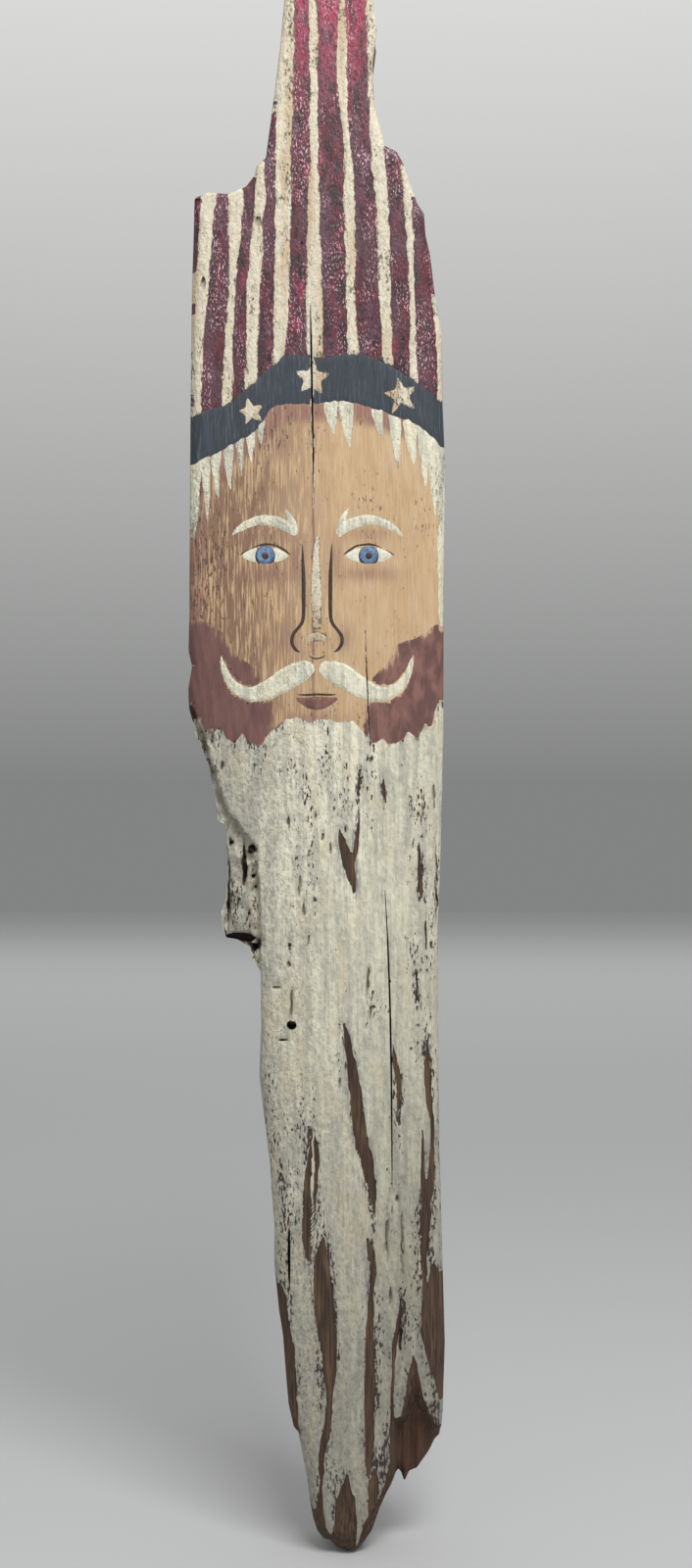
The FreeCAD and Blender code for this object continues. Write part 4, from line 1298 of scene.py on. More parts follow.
class Plank:
    """The bare timber under the paint."""

    SEED = 41
    ACROSS, UP = 0.95, 2.2  # size of a mesh cell
    RINGS = 8  # rings of points down its sides
    BARE = -0.35  # how far its front stands out; less than nothing keeps it under the paint
    EATEN = 0.9  # how far its sides are eaten into
    FAR = -9.0  # distance stored where no crack or chip is near
    HAT_CHIP = 0.15  # deepest shade of a chip in the hat's thick paint
    MAP = 1024  # side of its baked image
    # levels over which paint on the sides and the sides themselves wear off towards the foot
    WORN, SOUND = (20, 60), (25.0, 70.0)
    WORN_LEAN = 90  # how much higher paint is worn on the right side
    # where the left side crumbles: distances to the left, and levels at which it begins and ends
    CRUMBLY_SIDE, CRUMBLY_FOOT, CRUMBLY_TOP = (25, 35), (320, 345), (-490, -450)

    def __init__(self, plan: Plan, surface: Surface, lattice: Lattice) -> None:
        """Keeps what the plank is built from.

        Args:
            plan: The plank in plan.
            surface: Its front and back faces.
            lattice: Rows and columns over it.
        """
        self.plan, self.surface, self.lattice = plan, surface, lattice
        self.noise = Noise(self.SEED)
        self.wraps: list[tuple[CoatOutline, Wrap]] = []

    def wrapped_by(self, outline: CoatOutline, wrap: Wrap) -> None:
        """Lets a coat of this outline run over the plank's corners."""
        self.wraps.append((outline, wrap))

    def _wrap(self, place: Array) -> tuple[Array, Array]:
        """The paint that has run onto the plank's sides.

        Args:
            place: The plank's points.

        Returns:
            Share and colour of the paint at each point.
        """
        x, y, z = place.T
        share, colours = np.zeros(len(place)), np.zeros((len(place), 3))
        cx, up = self.plan.drawn(x, z)
        right_side = smoothstep(cx, -20, 20)
        lean = self.WORN_LEAN * right_side
        worn = smoothstep(up, self.WORN[0] + lean, self.WORN[1] + lean)
        for outline, wrap in self.wraps:
            inside = outline.depth(x, z) > 0
            reach = wrap.left + (wrap.right - wrap.left) * right_side
            reach = reach * (1 + 0.4 * self.noise.layered(x * 0.3 + y * 0.2, z, 20.0, 26.0))
            run = np.clip(1 - (y - self.plan.front) / (2 * np.maximum(reach, 0.5)), 0, 1)
            share = np.where(inside, run * worn, share)
            colours = np.where(inside[:, None], np.array(wrap.tint), colours)
        return share, colours

    def _held(self, x: Array, z: Array) -> Array:
        """Positive where there is timber."""
        return np.minimum(self.plan.rim(x, z), self.plan.hole_gap(x, z))

    def _walls(self, slab: Slab, front: Array, back: Array) -> tuple[Array, ...]:
        """Rings of points down the plank's sides, eaten into unevenly.

        Args:
            slab: The plank's slab.
            front: Y of every lattice point on the front.
            back: Y of every lattice point on the back.

        Returns:
            One set of points for each ring, in the border's order.
        """
        x, z = slab.x[slab.border], slab.z[slab.border]
        near, far = front[slab.border], back[slab.border]
        sx, sz = self.plan.outline.slope(x, z, 1.0)
        size = np.maximum(np.hypot(sx, sz), 0.25)
        outer = self.plan.hole_gap(x, z) > 4
        cx, up = self.plan.drawn(x, z)
        sound = smoothstep(up, *self.SOUND)
        crumbly = smoothstep(-cx, *self.CRUMBLY_SIDE) * smoothstep(up, *self.CRUMBLY_FOOT)
        crumbly = crumbly * smoothstep(-up, *self.CRUMBLY_TOP)
        rings = []
        for k in range(1, self.RINGS + 1):
            t = k / (self.RINGS + 1)
            y = near + (far - near) * t
            eaten = self.EATEN * math.sin(math.pi * t) ** 0.7 * (1 + self.noise.layered(x + z, y, 30.0, 9.0))
            eaten = eaten * (1 + 2.2 * crumbly * (1 + self.noise.layered(x + z, y, 8.0, 7.0)))
            ring = 0.5 + 0.5 * np.cos(2 * math.pi * self.surface.rings(x, y, z))
            eaten = (eaten + 0.3 * math.sin(math.pi * t) * (1 - ring)) * outer * sound
            rings.append(np.stack([x + sx / size * eaten, y, z + sz / size * eaten], axis=1))
        return tuple(rings)

    def build(self) -> bpy.types.Object:
        """Makes the timber and stores what its finish reads.

        Returns:
            The timber.
        """
        plan, surface = self.plan, self.surface
        x, z = self.lattice.whole(plan.foot - 1, plan.tip + 1, self.ACROSS, self.UP)
        slab = Slab(x, z, self._held)
        x, z = slab.x, slab.z
        front, back = surface.front(x, z, self.BARE), surface.back(x, z)
        rings = self._walls(slab, front, back)
        piece = slab.mesh("weathered_plank", front, back, rings)
        place = points_of(piece)
        give(piece, "ring", surface.rings(place[:, 0], place[:, 1], place[:, 2]))
        in_hat = z - plan.foot > surface.wear.hat_level
        chip = np.minimum(plan.chip(x, z), np.where(in_hat, self.HAT_CHIP, -self.FAR))
        for name, values in (("crack", plan.cracks.at(x, z)), ("chip", chip)):
            give(piece, name, slab.spread(values, self.RINGS, self.FAR))
        give(piece, "scoop", slab.spread(surface.scoop(x, z), self.RINGS, 0.0))
        share, colours = self._wrap(place)
        give(piece, "wrap", share)
        give_colour(piece, "wrap_tint", colours)
        Atlas(piece, slab, self.MAP).plank(self.RINGS)
        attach(piece, "board_body")
        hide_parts("board")
        return piece


class Nodes:
    """One material's node tree, built with short calls."""

    def __init__(self, name: str) -> None:
        """Starts the material.

        Args:
            name: Name of the material.
        """
        self.material = bpy.data.materials.new(name)
        self.material.use_nodes = True
        self.tree = self.material.node_tree
        self.shader = self.tree.nodes["Principled BSDF"]
        self.place = self.tree.nodes.new("ShaderNodeTexCoord").outputs["Object"]

    def feed(self, socket: Socket, value: Value) -> None:
        """Links a socket, or sets its constant.

        Args:
            socket: The socket.
            value: Another node's output, a number or a colour.
        """
        if isinstance(value, bpy.types.NodeSocket):
            self.tree.links.new(value, socket)
        elif isinstance(value, tuple) and socket.type == "RGBA":
            socket.default_value = (*value, 1.0)
        else:
            socket.default_value = value

    def maths(self, operation: str, a: Value, b: Value = 0.0, c: Value = 0.0) -> Socket:
        """One sum of up to three numbers.

        Args:
            operation: Name of the sum.
            a: First number.
            b: Second number.
            c: Third number.

        Returns:
            The result.
        """
        node = self.tree.nodes.new("ShaderNodeMath")
        node.operation = operation
        for socket, value in zip(node.inputs, (a, b, c)):
            self.feed(socket, value)
        return node.outputs[0]

    def both(self, a: Value, b: Value) -> Socket:
        """Product of two shares."""
        return self.maths("MULTIPLY", a, b)

    def add(self, first: Value, *others: Value) -> Socket:
        """Adds numbers up, in order.

        Args:
            first: First number.
            others: The others.

        Returns:
            The total.
        """
        for other in others:
            first = self.maths("ADD", first, other)
        return first

    def swing(self, noise: Socket, size: float) -> Socket:
        """Noise of a given size round nothing, from noise round one half."""
        return self.both(self.maths("SUBTRACT", noise, 0.5), size)

    def stored(self, name: str, output: str = "Fac") -> Socket:
        """Reads what is stored on the mesh.

        Args:
            name: What it is called there.
            output: Fac for a number, Color for a colour.

        Returns:
            The number or colour.
        """
        node = self.tree.nodes.new("ShaderNodeAttribute")
        node.attribute_name = name
        return node.outputs[output]

    def axis(self, letter: str) -> Socket:
        """Reads one coordinate.

        Args:
            letter: X, Y or Z.

        Returns:
            The coordinate, in metres.
        """
        node = self.tree.nodes.new("ShaderNodeSeparateXYZ")
        self.feed(node.inputs[0], self.place)
        return node.outputs[letter]

    def noise(
        self, wide: float, tall: float, detail: float = 3.0, seed: float = 0.0, rough: float = 0.55
    ) -> Socket:
        """Cloudy noise, drawn out along the grain.

        Args:
            wide: Size of a blot across the grain, in millimetres.
            tall: Its size along the grain.
            detail: Number of finer octaves.
            seed: Shift that makes it differ from other noise.
            rough: Strength of the finer octaves.

        Returns:
            Values round one half.
        """
        mapping = self.tree.nodes.new("ShaderNodeMapping")
        self.feed(mapping.inputs["Vector"], self.place)
        mapping.inputs["Location"].default_value = (seed, seed * 0.7, seed * 1.3)
        mapping.inputs["Scale"].default_value = (1 / (wide * MM), 1 / (wide * MM), 1 / (tall * MM))
        node = self.tree.nodes.new("ShaderNodeTexNoise")
        self.feed(node.inputs["Vector"], mapping.outputs[0])
        for name, value in (("Scale", 1.0), ("Detail", detail), ("Roughness", rough)):
            node.inputs[name].default_value = value
        return node.outputs["Fac"]

    def ramp(self, value: Value, low: Value, high: Value, start: Value = 0.0, end: Value = 1.0) -> Socket:
        """Smooth ramp.

        Args:
            value: What is read.
            low: Where the ramp starts.
            high: Where it ends.
            start: Result at low and below.
            end: Result at high and above.

        Returns:
            The result.
        """
        node = self.tree.nodes.new("ShaderNodeMapRange")
        node.interpolation_type = "SMOOTHSTEP"
        inputs = {"Value": value, "From Min": low, "From Max": high, "To Min": start, "To Max": end}
        for name, number in inputs.items():
            self.feed(node.inputs[name], number)
        return node.outputs[0]

    def blend(self, share: Value, a: Value, b: Value) -> Socket:
        """Mixes two colours.

        Args:
            share: Share of the second colour.
            a: First colour.
            b: Second colour.

        Returns:
            The mixed colour.
        """
        node = self.tree.nodes.new("ShaderNodeMix")
        node.data_type = "RGBA"
        self.feed(node.inputs[0], share)
        self.feed(node.inputs[6], a)
        self.feed(node.inputs[7], b)
        return node.outputs[2]

    def finish(
        self,
        colour: Value,
        rough: Value,
        height: Socket | None = None,
        depth: float = 0.3,
        metal: float = 0.0,
    ) -> bpy.types.Material:
        """Sets the surface.

        Args:
            colour: Base colour.
            rough: Roughness.
            height: Fine relief, if there is any.
            depth: Height in millimetres that one unit of the relief stands for.
            metal: How metallic it is.

        Returns:
            The finished material.
        """
        self.feed(self.shader.inputs["Base Color"], colour)
        self.feed(self.shader.inputs["Roughness"], rough)
        self.shader.inputs["Metallic"].default_value = metal
        if height is not None:
            bump = self.tree.nodes.new("ShaderNodeBump")
            bump.inputs["Strength"].default_value = 1.0
            bump.inputs["Distance"].default_value = depth * MM
            self.feed(bump.inputs["Height"], height)
            self.feed(self.shader.inputs["Normal"], bump.outputs[0])
        return self.material


@dataclass(frozen=True)
class TimberFinish:
    """Old softwood: brown where it was covered, grey where it lay open."""

    pale: Colour = (0.124, 0.069, 0.036)
    dark: Colour = (0.024, 0.013, 0.008)
    grey: Colour = (0.205, 0.170, 0.132)
    recess_shade: Colour = (0.010, 0.007, 0.006)
    rust: Colour = (0.075, 0.031, 0.016)

    def material(self) -> bpy.types.Material:
        """Builds the material.

        Returns:
            The finished material.
        """
        n = Nodes("weathered_timber")
        ring = n.maths("SINE", n.maths("MULTIPLY", n.stored("ring"), 2 * math.pi))
        ring = n.ramp(ring, -0.6, 1.0)
        fibre, fine = n.noise(0.9, 22.0, 4.0), n.noise(0.35, 7.0, 3.0, 3.0)
        colour = n.blend(n.ramp(fibre, 0.34, 0.68), self.dark, self.pale)
        colour = n.blend(n.both(ring, 0.42), colour, self.dark)
        open_air = n.ramp(n.axis("Y"), -0.030, -0.010)
        weather = n.ramp(n.noise(14.0, 60.0, 3.0, 5.0), 0.3, 0.62, 0.35, 0.95)
        colour = n.blend(n.both(open_air, weather), colour, self.grey)
        colour = n.blend(n.both(n.ramp(fine, 0.52, 0.72), 0.5), colour, self.dark)
        torn = n.both(n.stored("scoop"), n.ramp(n.noise(1.3, 16.0, 3.0, 9.0), 0.35, 0.6))
        colour = n.blend(torn, colour, self.rust)
        colour = n.blend(n.ramp(n.noise(7.0, 30.0, 2.0, 7.0), 0.55, 0.78, 0.0, 0.6), colour, self.dark)
        ragged = n.add(n.stored("wrap"), n.swing(n.noise(1.6, 6.0, 4.0, 2.0), 1.6))
        covered = n.both(n.ramp(ragged, 0.45, 0.60), n.ramp(n.stored("wrap"), 0.0, 0.12))
        paint = n.blend(n.ramp(fibre, 0.4, 0.62, 0.0, 0.35), n.stored("wrap_tint", "Color"), self.dark)
        colour = n.blend(covered, colour, paint)
        # painted shade: the cracks and the chips are darkened to near black
        colour = n.blend(n.ramp(n.stored("crack"), -0.4, 0.2), colour, self.recess_shade)
        colour = n.blend(n.ramp(n.stored("chip"), -0.2, 0.9, 0.0, 0.8), colour, self.recess_shade)
        height = n.add(n.both(fibre, 0.7), n.both(ring, 0.3), n.both(fine, 0.3))
        return n.finish(colour, n.ramp(fibre, 0.3, 0.7, 0.72, 0.9), height, 0.55)


@dataclass(frozen=True)
class HatFinish:
    """Dark red paint with a crust, speckled with small painted glints that stand in for light catching its
    gloss.
    """

    deep: Colour = (0.030, 0.008, 0.012)
    red: Colour = (0.110, 0.014, 0.026)
    bright: Colour = (0.30, 0.022, 0.060)
    plum: Colour = (0.080, 0.030, 0.044)
    painted_glint: Colour = (0.60, 0.36, 0.40)

    def material(self) -> bpy.types.Material:
        """Builds the material.

        Returns:
            The finished material.
        """
        n = Nodes("hat_red_paint")
        cloud = n.noise(4.0, 14.0, 4.0)
        grit, fine = n.noise(1.3, 3.6, 4.0, 1.0), n.noise(0.7, 1.7, 3.0, 4.0)
        colour = n.blend(n.ramp(cloud, 0.40, 0.60), self.deep, self.red)
        colour = n.blend(n.ramp(n.noise(9.0, 34.0, 3.0, 6.0), 0.45, 0.62, 0.0, 0.85), colour, self.plum)
        high = n.ramp(n.axis("Z"), -0.03, 0.07, 0.0, 1.0)
        patch = n.maths("MAXIMUM", high, n.ramp(n.noise(13.0, 30.0, 2.0, 16.0), 0.62, 0.74, 0.0, 0.6))
        colour = n.blend(n.both(patch, n.ramp(cloud, 0.3, 0.6)), colour, self.bright)
        colour = n.blend(n.ramp(grit, 0.54, 0.66, 0.0, 0.85), colour, self.deep)
        # painted glints: small bright pink specks on the raised fine relief, crowding in patches, stand in for
        # light catching the glossy paint
        crowd = n.ramp(n.noise(10.0, 26.0, 3.0, 8.0), 0.42, 0.60, 0.08, 1.0)
        colour = n.blend(n.both(n.ramp(fine, 0.565, 0.64), crowd), colour, self.painted_glint)
        colour = n.blend(n.ramp(n.noise(0.8, 9.0, 3.0, 12.0), 0.66, 0.72, 0.0, 0.8), colour, self.deep)
        height = n.add(n.both(grit, 0.8), n.both(fine, 0.5))
        return n.finish(colour, n.ramp(grit, 0.35, 0.65, 0.34, 0.6), height, 0.6)


@dataclass(frozen=True)
class CreamFinish:
    """Thick pale paint with a pitted crust."""

    pale: Colour = (0.66, 0.595, 0.455)
    warm: Colour = (0.53, 0.405, 0.260)
    grey: Colour = (0.44, 0.405, 0.320)
    pit: Colour = (0.10, 0.052, 0.030)

    def material(self) -> bpy.types.Material:
        """Builds the material.

        Returns:
            The finished material.
        """
        n = Nodes("pale_paint")
        colour = n.blend(n.ramp(n.noise(7.0, 55.0, 3.0), 0.44, 0.68), self.pale, self.warm)
        colour = n.blend(n.ramp(n.noise(1.8, 6.0, 4.0, 2.0), 0.46, 0.72, 0.0, 0.75), colour, self.grey)
        worn = n.ramp(n.stored("rim"), 0.0, 1.0, 0.16, 0.0)
        crowd = n.ramp(n.noise(9.0, 26.0, 3.0, 9.0), 0.42, 0.70, -0.05, 0.11)
        pits = n.add(n.noise(1.0, 2.4, 4.0, 5.0, 0.65), worn, crowd)
        colour = n.blend(n.ramp(pits, 0.64, 0.72, 0.0, 0.9), colour, self.pit)
        height = n.add(n.noise(1.6, 3.0, 5.0, 7.0, 0.65), n.ramp(pits, 0.60, 0.72, 0.0, -0.5))
        return n.finish(colour, 0.52, height, 1.3)


@dataclass(frozen=True)
class NavyFinish:
    """Thin dark blue paint over open grain."""

    navy: Colour = (0.026, 0.034, 0.045)
    blue: Colour = (0.03, 0.045, 0.07)
    worn: Colour = (0.085, 0.100, 0.116)

    def material(self) -> bpy.types.Material:
        """Builds the material.

        Returns:
            The finished material.
        """
        n = Nodes("band_navy_paint")
        fibre = n.noise(0.8, 13.0, 4.0)
        colour = n.blend(n.ramp(fibre, 0.52, 0.76), self.navy, self.worn)
        colour = n.blend(n.ramp(n.noise(0.6, 1.4, 2.0, 3.0), 0.66, 0.72, 0.0, 0.6), colour, self.worn)
        colour = n.blend(n.ramp(n.noise(9.0, 16.0, 2.0, 6.0), 0.5, 0.7, 0.0, 0.4), colour, self.blue)
        return n.finish(colour, 0.55, fibre, 0.5)


@dataclass(frozen=True)
class SkinFinish:
    """Tan paint, smooth on one side and worn to the grain on the other."""

    tan: Colour = (0.57, 0.395, 0.205)
    light: Colour = (0.66, 0.485, 0.275)
    brown: Colour = (0.195, 0.118, 0.064)
    mauve: Colour = (0.240, 0.118, 0.096)
    dark: Colour = (0.060, 0.032, 0.020)

    def base(self, n: Nodes) -> Socket:
        """The skin's colour before its last dark spots.

        Args:
            n: Node tree that it is built in.

        Returns:
            The colour.
        """
        side = n.ramp(n.axis("X"), -0.060, 0.014, 1.0, 0.0)
        fibre, blot = n.noise(0.9, 16.0, 4.0), n.noise(5.0, 15.0, 4.0, 2.0)
        colour = n.blend(n.ramp(blot, 0.35, 0.65), self.tan, self.light)
        streak = n.add(n.both(fibre, 0.75), n.both(blot, 0.35))
        worn = n.both(n.ramp(streak, 0.44, 0.60), n.add(n.both(side, 0.85), 0.12))
        colour = n.blend(n.add(worn, n.both(side, 0.14)), colour, self.brown)
        shade = n.both(n.stored("shade"), n.ramp(streak, 0.40, 0.58, 0.6, 1.0))
        return n.blend(shade, colour, self.mauve)

    def material(self) -> bpy.types.Material:
        """Builds the material.

        Returns:
            The finished material.
        """
        n = Nodes("skin_paint")
        colour = self.base(n)
        crowd = n.ramp(n.noise(16.0, 40.0, 2.0, 4.0), 0.4, 0.7, -0.05, 0.05)
        left = n.ramp(n.axis("X"), -0.070, -0.010, 0.055, 0.0)
        spots = n.add(n.noise(0.9, 4.0, 3.0, 8.0), crowd, left)
        colour = n.blend(n.ramp(spots, 0.66, 0.72, 0.0, 0.85), colour, self.dark)
        height = n.add(n.noise(0.9, 16.0, 4.0), n.ramp(spots, 0.65, 0.73, 0.0, -0.4))
        return n.finish(colour, 0.66, height, 0.45)


@dataclass(frozen=True)
class RoseFinish:
    """Dusty rose that is rubbed out into the skin round it."""

    rose: Colour = (0.225, 0.105, 0.086)
    deep: Colour = (0.120, 0.054, 0.048)
    dark: Colour = (0.060, 0.030, 0.024)

    def material(self) -> bpy.types.Material:
        """Builds the material.

        Returns:
            The finished material.
        """
        n = Nodes("rose_paint")
        fibre, blot = n.noise(0.8, 9.0, 4.0, 5.0), n.noise(6.0, 14.0, 4.0, 3.0)
        colour = n.blend(n.ramp(blot, 0.38, 0.64), self.rose, self.deep)
        colour = n.blend(n.ramp(fibre, 0.55, 0.72, 0.0, 0.35), colour, self.dark)
        colour = n.blend(n.ramp(n.axis("X"), -0.060, 0.010, 0.70, 0.0), colour, self.deep)
        reach = n.add(n.stored("rim"), n.swing(blot, 16.0), n.swing(fibre, 8.0))
        soft = n.maths("MAXIMUM", n.ramp(reach, -1.0, 3.2), n.stored("firm"))
        colour = n.blend(soft, SkinFinish().base(n), colour)
        spots = n.noise(0.9, 4.0, 3.0, 8.0)
        colour = n.blend(n.ramp(spots, 0.69, 0.74, 0.0, 0.85), colour, self.dark)
        return n.finish(colour, 0.66, n.noise(0.9, 16.0, 4.0), 0.45)


@dataclass(frozen=True)
class HairFinish:
    """Off-white paint in long strokes, broken and dirty where the grain stands up."""

    white: Colour = (0.75, 0.725, 0.565)
    cool: Colour = (0.47, 0.458, 0.370)
    warm: Colour = (0.68, 0.615, 0.430)
    lilac_and_hollow_shade: Colour = (0.255, 0.235, 0.240)
    grime_and_shade: Colour = (0.150, 0.140, 0.112)
    dirt: Colour = (0.040, 0.025, 0.022)

    def _worse(self, n: Nodes) -> Socket:
        """Hard wear, most of it down the left side and at the foot.

        Args:
            n: Node tree that it is built in.

        Returns:
            Its share.
        """
        left = n.ramp(n.axis("X"), -0.052, 0.004, 0.9, 0.0)
        foot = n.ramp(n.axis("Z"), -0.70, -0.54, 0.8, 0.0)
        return n.both(n.maths("MINIMUM", n.add(left, foot), 1.0), n.stored("dry"))

    def _dirt_and_shade_share(self, n: Nodes) -> Socket:
        """Grey rubbed in at the foot and down both sides: partly dirt, partly painted shade where the light
        falls off towards the foot and the left side.

        Args:
            n: Node tree that it is built in.

        Returns:
            Its share.
        """
        foot = n.ramp(n.axis("Z"), -0.80, -0.37, 0.60, 0.0)
        left = n.ramp(n.axis("X"), -0.060, -0.018, 0.34, 0.0)
        right = n.ramp(n.axis("X"), 0.012, 0.040, 0.0, 0.16)
        return n.both(n.add(foot, left, right), n.stored("dry"))

    def _broken(self, n: Nodes, worse: Socket) -> Socket:
        """Dry, broken paint along the strokes' edges.

        Args:
            n: Node tree that it is built in.
            worse: Share of hard wear.

        Returns:
            Its share.
        """
        reach = n.add(3.0, n.both(worse, 3.5))
        edge = n.ramp(n.stored("rim"), 0.0, reach, 1.0, 0.0)
        return n.both(n.both(edge, n.ramp(n.noise(6.0, 34.0, 2.0, 11.0), 0.43, 0.58)), n.stored("dry"))

    def _flecks(self, n: Nodes, grit: Socket, long: Socket, broken: Socket, worse: Socket) -> Socket:
        """Grit, raised where dark flecks crowd.

        Args:
            n: Node tree that it is built in.
            grit: Fine noise.
            long: Noise drawn out along the grain.
            broken: Share of broken paint.
            worse: Share of hard wear.

        Returns:
            Values that are a fleck above about two thirds.
        """
        crowd = n.ramp(n.noise(12.0, 56.0, 3.0, 14.0), 0.44, 0.72, -0.09, 0.11)
        edge = n.ramp(n.stored("edge"), 0.0, 20.0, 0.05, 0.0)
        wear = n.maths("MULTIPLY_ADD", worse, 0.045, -0.015)
        return n.add(grit, n.both(broken, 0.13), crowd, edge, n.swing(long, 0.25), wear)

    def material(self) -> bpy.types.Material:
        """Builds the material.

        Returns:
            The finished material.
        """
        n = Nodes("white_hair_paint")
        stroke, blot = n.noise(4.2, 36.0, 5.0), n.noise(12.0, 40.0, 4.0, 3.0)
        lump, long = n.noise(2.0, 3.6, 5.0, 21.0, 0.62), n.noise(1.3, 26.0, 4.0, 24.0)
        grit = n.noise(1.2, 3.4, 4.0, 6.0)
        worse = self._worse(n)
        body = n.add(n.both(stroke, 0.5), n.both(lump, 0.25), n.both(long, 0.25))
        body = n.maths("SUBTRACT", body, n.both(worse, 0.055))
        colour = n.blend(n.ramp(body, 0.40, 0.60), self.cool, self.white)
        colour = n.blend(n.ramp(blot, 0.50, 0.70, 0.0, 0.7), colour, self.warm)
        # painted shade: lilac grey darkens the low places of the same lumps that raise the bump relief; along
        # broken stroke edges the lilac is the paint's own dry-brushed colour
        hollow = n.ramp(lump, 0.36, 0.50, n.maths("MULTIPLY_ADD", worse, 0.5, 0.12), 0.0)
        colour = n.blend(n.both(hollow, n.stored("dry")), colour, self.lilac_and_hollow_shade)
        broken = self._broken(n, worse)
        colour = n.blend(n.both(broken, n.ramp(grit, 0.38, 0.55)), colour, self.lilac_and_hollow_shade)
        flecks = self._flecks(n, grit, long, broken, worse)
        # partly dirt, partly painted shade: grey towards the foot and down the sides
        colour = n.blend(self._dirt_and_shade_share(n), colour, self.grime_and_shade)
        dirty = n.both(n.ramp(flecks, 0.655, 0.70), n.ramp(n.stored("dry"), 0.0, 1.0, 0.15, 1.0))
        colour = n.blend(dirty, colour, self.dirt)
        side = n.ramp(n.axis("X"), -0.040, 0.030)
        rough = n.both(lump, n.ramp(side, 0.0, 1.0, 1.0, 0.45))
        height = n.add(rough, n.both(long, 0.45), n.ramp(flecks, 0.63, 0.71, 0.0, -0.4))
        return n.finish(colour, 0.42, height, 1.9)


@dataclass(frozen=True)
class PlainFinish:
    """Brushed paint of one colour, a little uneven."""

    name: str
    colour: Colour
    second: Colour
    rough: float = 0.5

    def material(self) -> bpy.types.Material:
        """Builds the material.

        Returns:
            The finished material.
        """
        n = Nodes(self.name)
        colour = n.blend(n.ramp(n.noise(1.4, 3.4, 3.0), 0.42, 0.66), self.colour, self.second)
        return n.finish(colour, self.rough, n.noise(0.9, 3.0, 3.0, 2.0), 0.25)


@dataclass(frozen=True)
class IrisFinish:
    """Blue paint, darker at its rim and streaked towards the middle."""

    blue: Colour = (0.070, 0.135, 0.255)
    pale: Colour = (0.200, 0.300, 0.420)
    dark: Colour = (0.012, 0.024, 0.052)

    def material(self) -> bpy.types.Material:
        """Builds the material.

        Returns:
            The finished material.
        """
        n = Nodes("eye_blue_paint")
        colour = n.blend(n.ramp(n.noise(0.9, 1.3, 3.0), 0.44, 0.66), self.blue, self.pale)
        colour = n.blend(n.ramp(n.stored("spoke"), 0.72, 1.0), colour, self.dark)
        return n.finish(colour, 0.42)


@dataclass(frozen=True)
class SteelFinish:
    """Zinc-plated steel, dulled by weather."""

    zinc: Colour = (0.52, 0.53, 0.54)
    dull: Colour = (0.27, 0.26, 0.25)

    def material(self) -> bpy.types.Material:
        """Builds the material.

        Returns:
            The finished material.
        """
        n = Nodes("zinc_plated_steel")
        bloom = n.noise(3.0, 3.0, 4.0)
        colour = n.blend(n.ramp(bloom, 0.4, 0.68), self.zinc, self.dull)
        return n.finish(colour, n.ramp(bloom, 0.35, 0.7, 0.32, 0.58), n.noise(0.8, 0.8, 3.0, 4.0), 0.05, 1.0)


class Face:
    """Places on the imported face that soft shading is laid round."""

    IRIS = 5.6
    PUPIL_HALF = 2.6

    def __init__(self) -> None:
        """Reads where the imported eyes, nose and lip are."""
        eyes, pupils = corners("eye_whites"), corners("eye_pupils")
        self.middle = (eyes[0][0] + eyes[1][0]) / 2
        self.eye_level = (eyes[0][2] + eyes[1][2]) / 2
        self.apart = (pupils[1][0] - pupils[0][0]) / 2 - self.PUPIL_HALF
        self.nose_foot = corners("nose_light")[0][2]
        self.lip_foot = corners("lower_lip")[0][2]

    @staticmethod
    def _blot(x: Array, z: Array, at: tuple[float, float], size: tuple[float, float]) -> Array:
        """Soft round blot."""
        return np.exp(-((x - at[0]) / size[0]) ** 2 - ((z - at[1]) / size[1]) ** 2)

    def shade(self, x: Array, z: Array, band: Array) -> Array:
        """Share of mauve shading at each place.

        Args:
            x: Places across.
            z: Places up.
            band: Distance below the band's lower edge.

        Returns:
            Shares from 0 to 1.
        """
        total = 0.95 * smoothstep(15.0 - band, 0.0, 9.0)
        for side in (-1, 1):
            eye, bridge, nostril = (self.middle + side * away for away in (self.apart, 10.5, 15.5))
            total = total + 0.55 * self._blot(x, z, (eye, self.eye_level - 10.5), (15, 4.2))
            total = total + 0.38 * self._blot(x, z, (eye, self.eye_level + 11.5), (15, 4.0))
            total = total + 0.42 * self._blot(x, z, (bridge, self.eye_level - 1), (4.0, 11))
            total = total + 0.40 * self._blot(x, z, (nostril, self.nose_foot + 2), (5.0, 8))
        total = total + 0.45 * self._blot(x, z, (self.middle, self.lip_foot - 4), (16, 4.0))
        return np.clip(total, 0, 1)

    def spoke(self, x: Array, z: Array) -> Array:
        """Distance from the nearer pupil, as a share of the iris."""
        gap = [np.hypot(x - self.middle - side * self.apart, z - self.eye_level) for side in (-1, 1)]
        return np.minimum(*gap) / self.IRIS

    def store(self, piece: bpy.types.Object, mark: FaceMark, band: CoatOutline) -> None:
        """Stores what a coat's finish reads from the face.

        Args:
            piece: The coat's film.
            mark: What it reads.
            band: Outline of the hat band, which shades the brow.
        """
        x, _, z = points_of(piece).T
        if mark is FaceMark.SHADE:
            give(piece, mark.value, self.shade(x, z, -band.depth(x, z)))
        elif mark is FaceMark.SPOKE:
            give(piece, mark.value, self.spoke(x, z))


class Hanger:
    """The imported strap, ring and screws, which are shown as they are."""

    NODES = ("hanger_strap", "hanger_ring", "hanger_screw_upper", "hanger_screw_lower")

    def dress(self, finish: bpy.types.Material) -> None:
        """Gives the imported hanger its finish.

        Args:
            finish: The finish.
        """
        for name in self.NODES:
            mesh = frame["nodes"][name].data
            mesh.materials.clear()
            mesh.materials.append(finish)


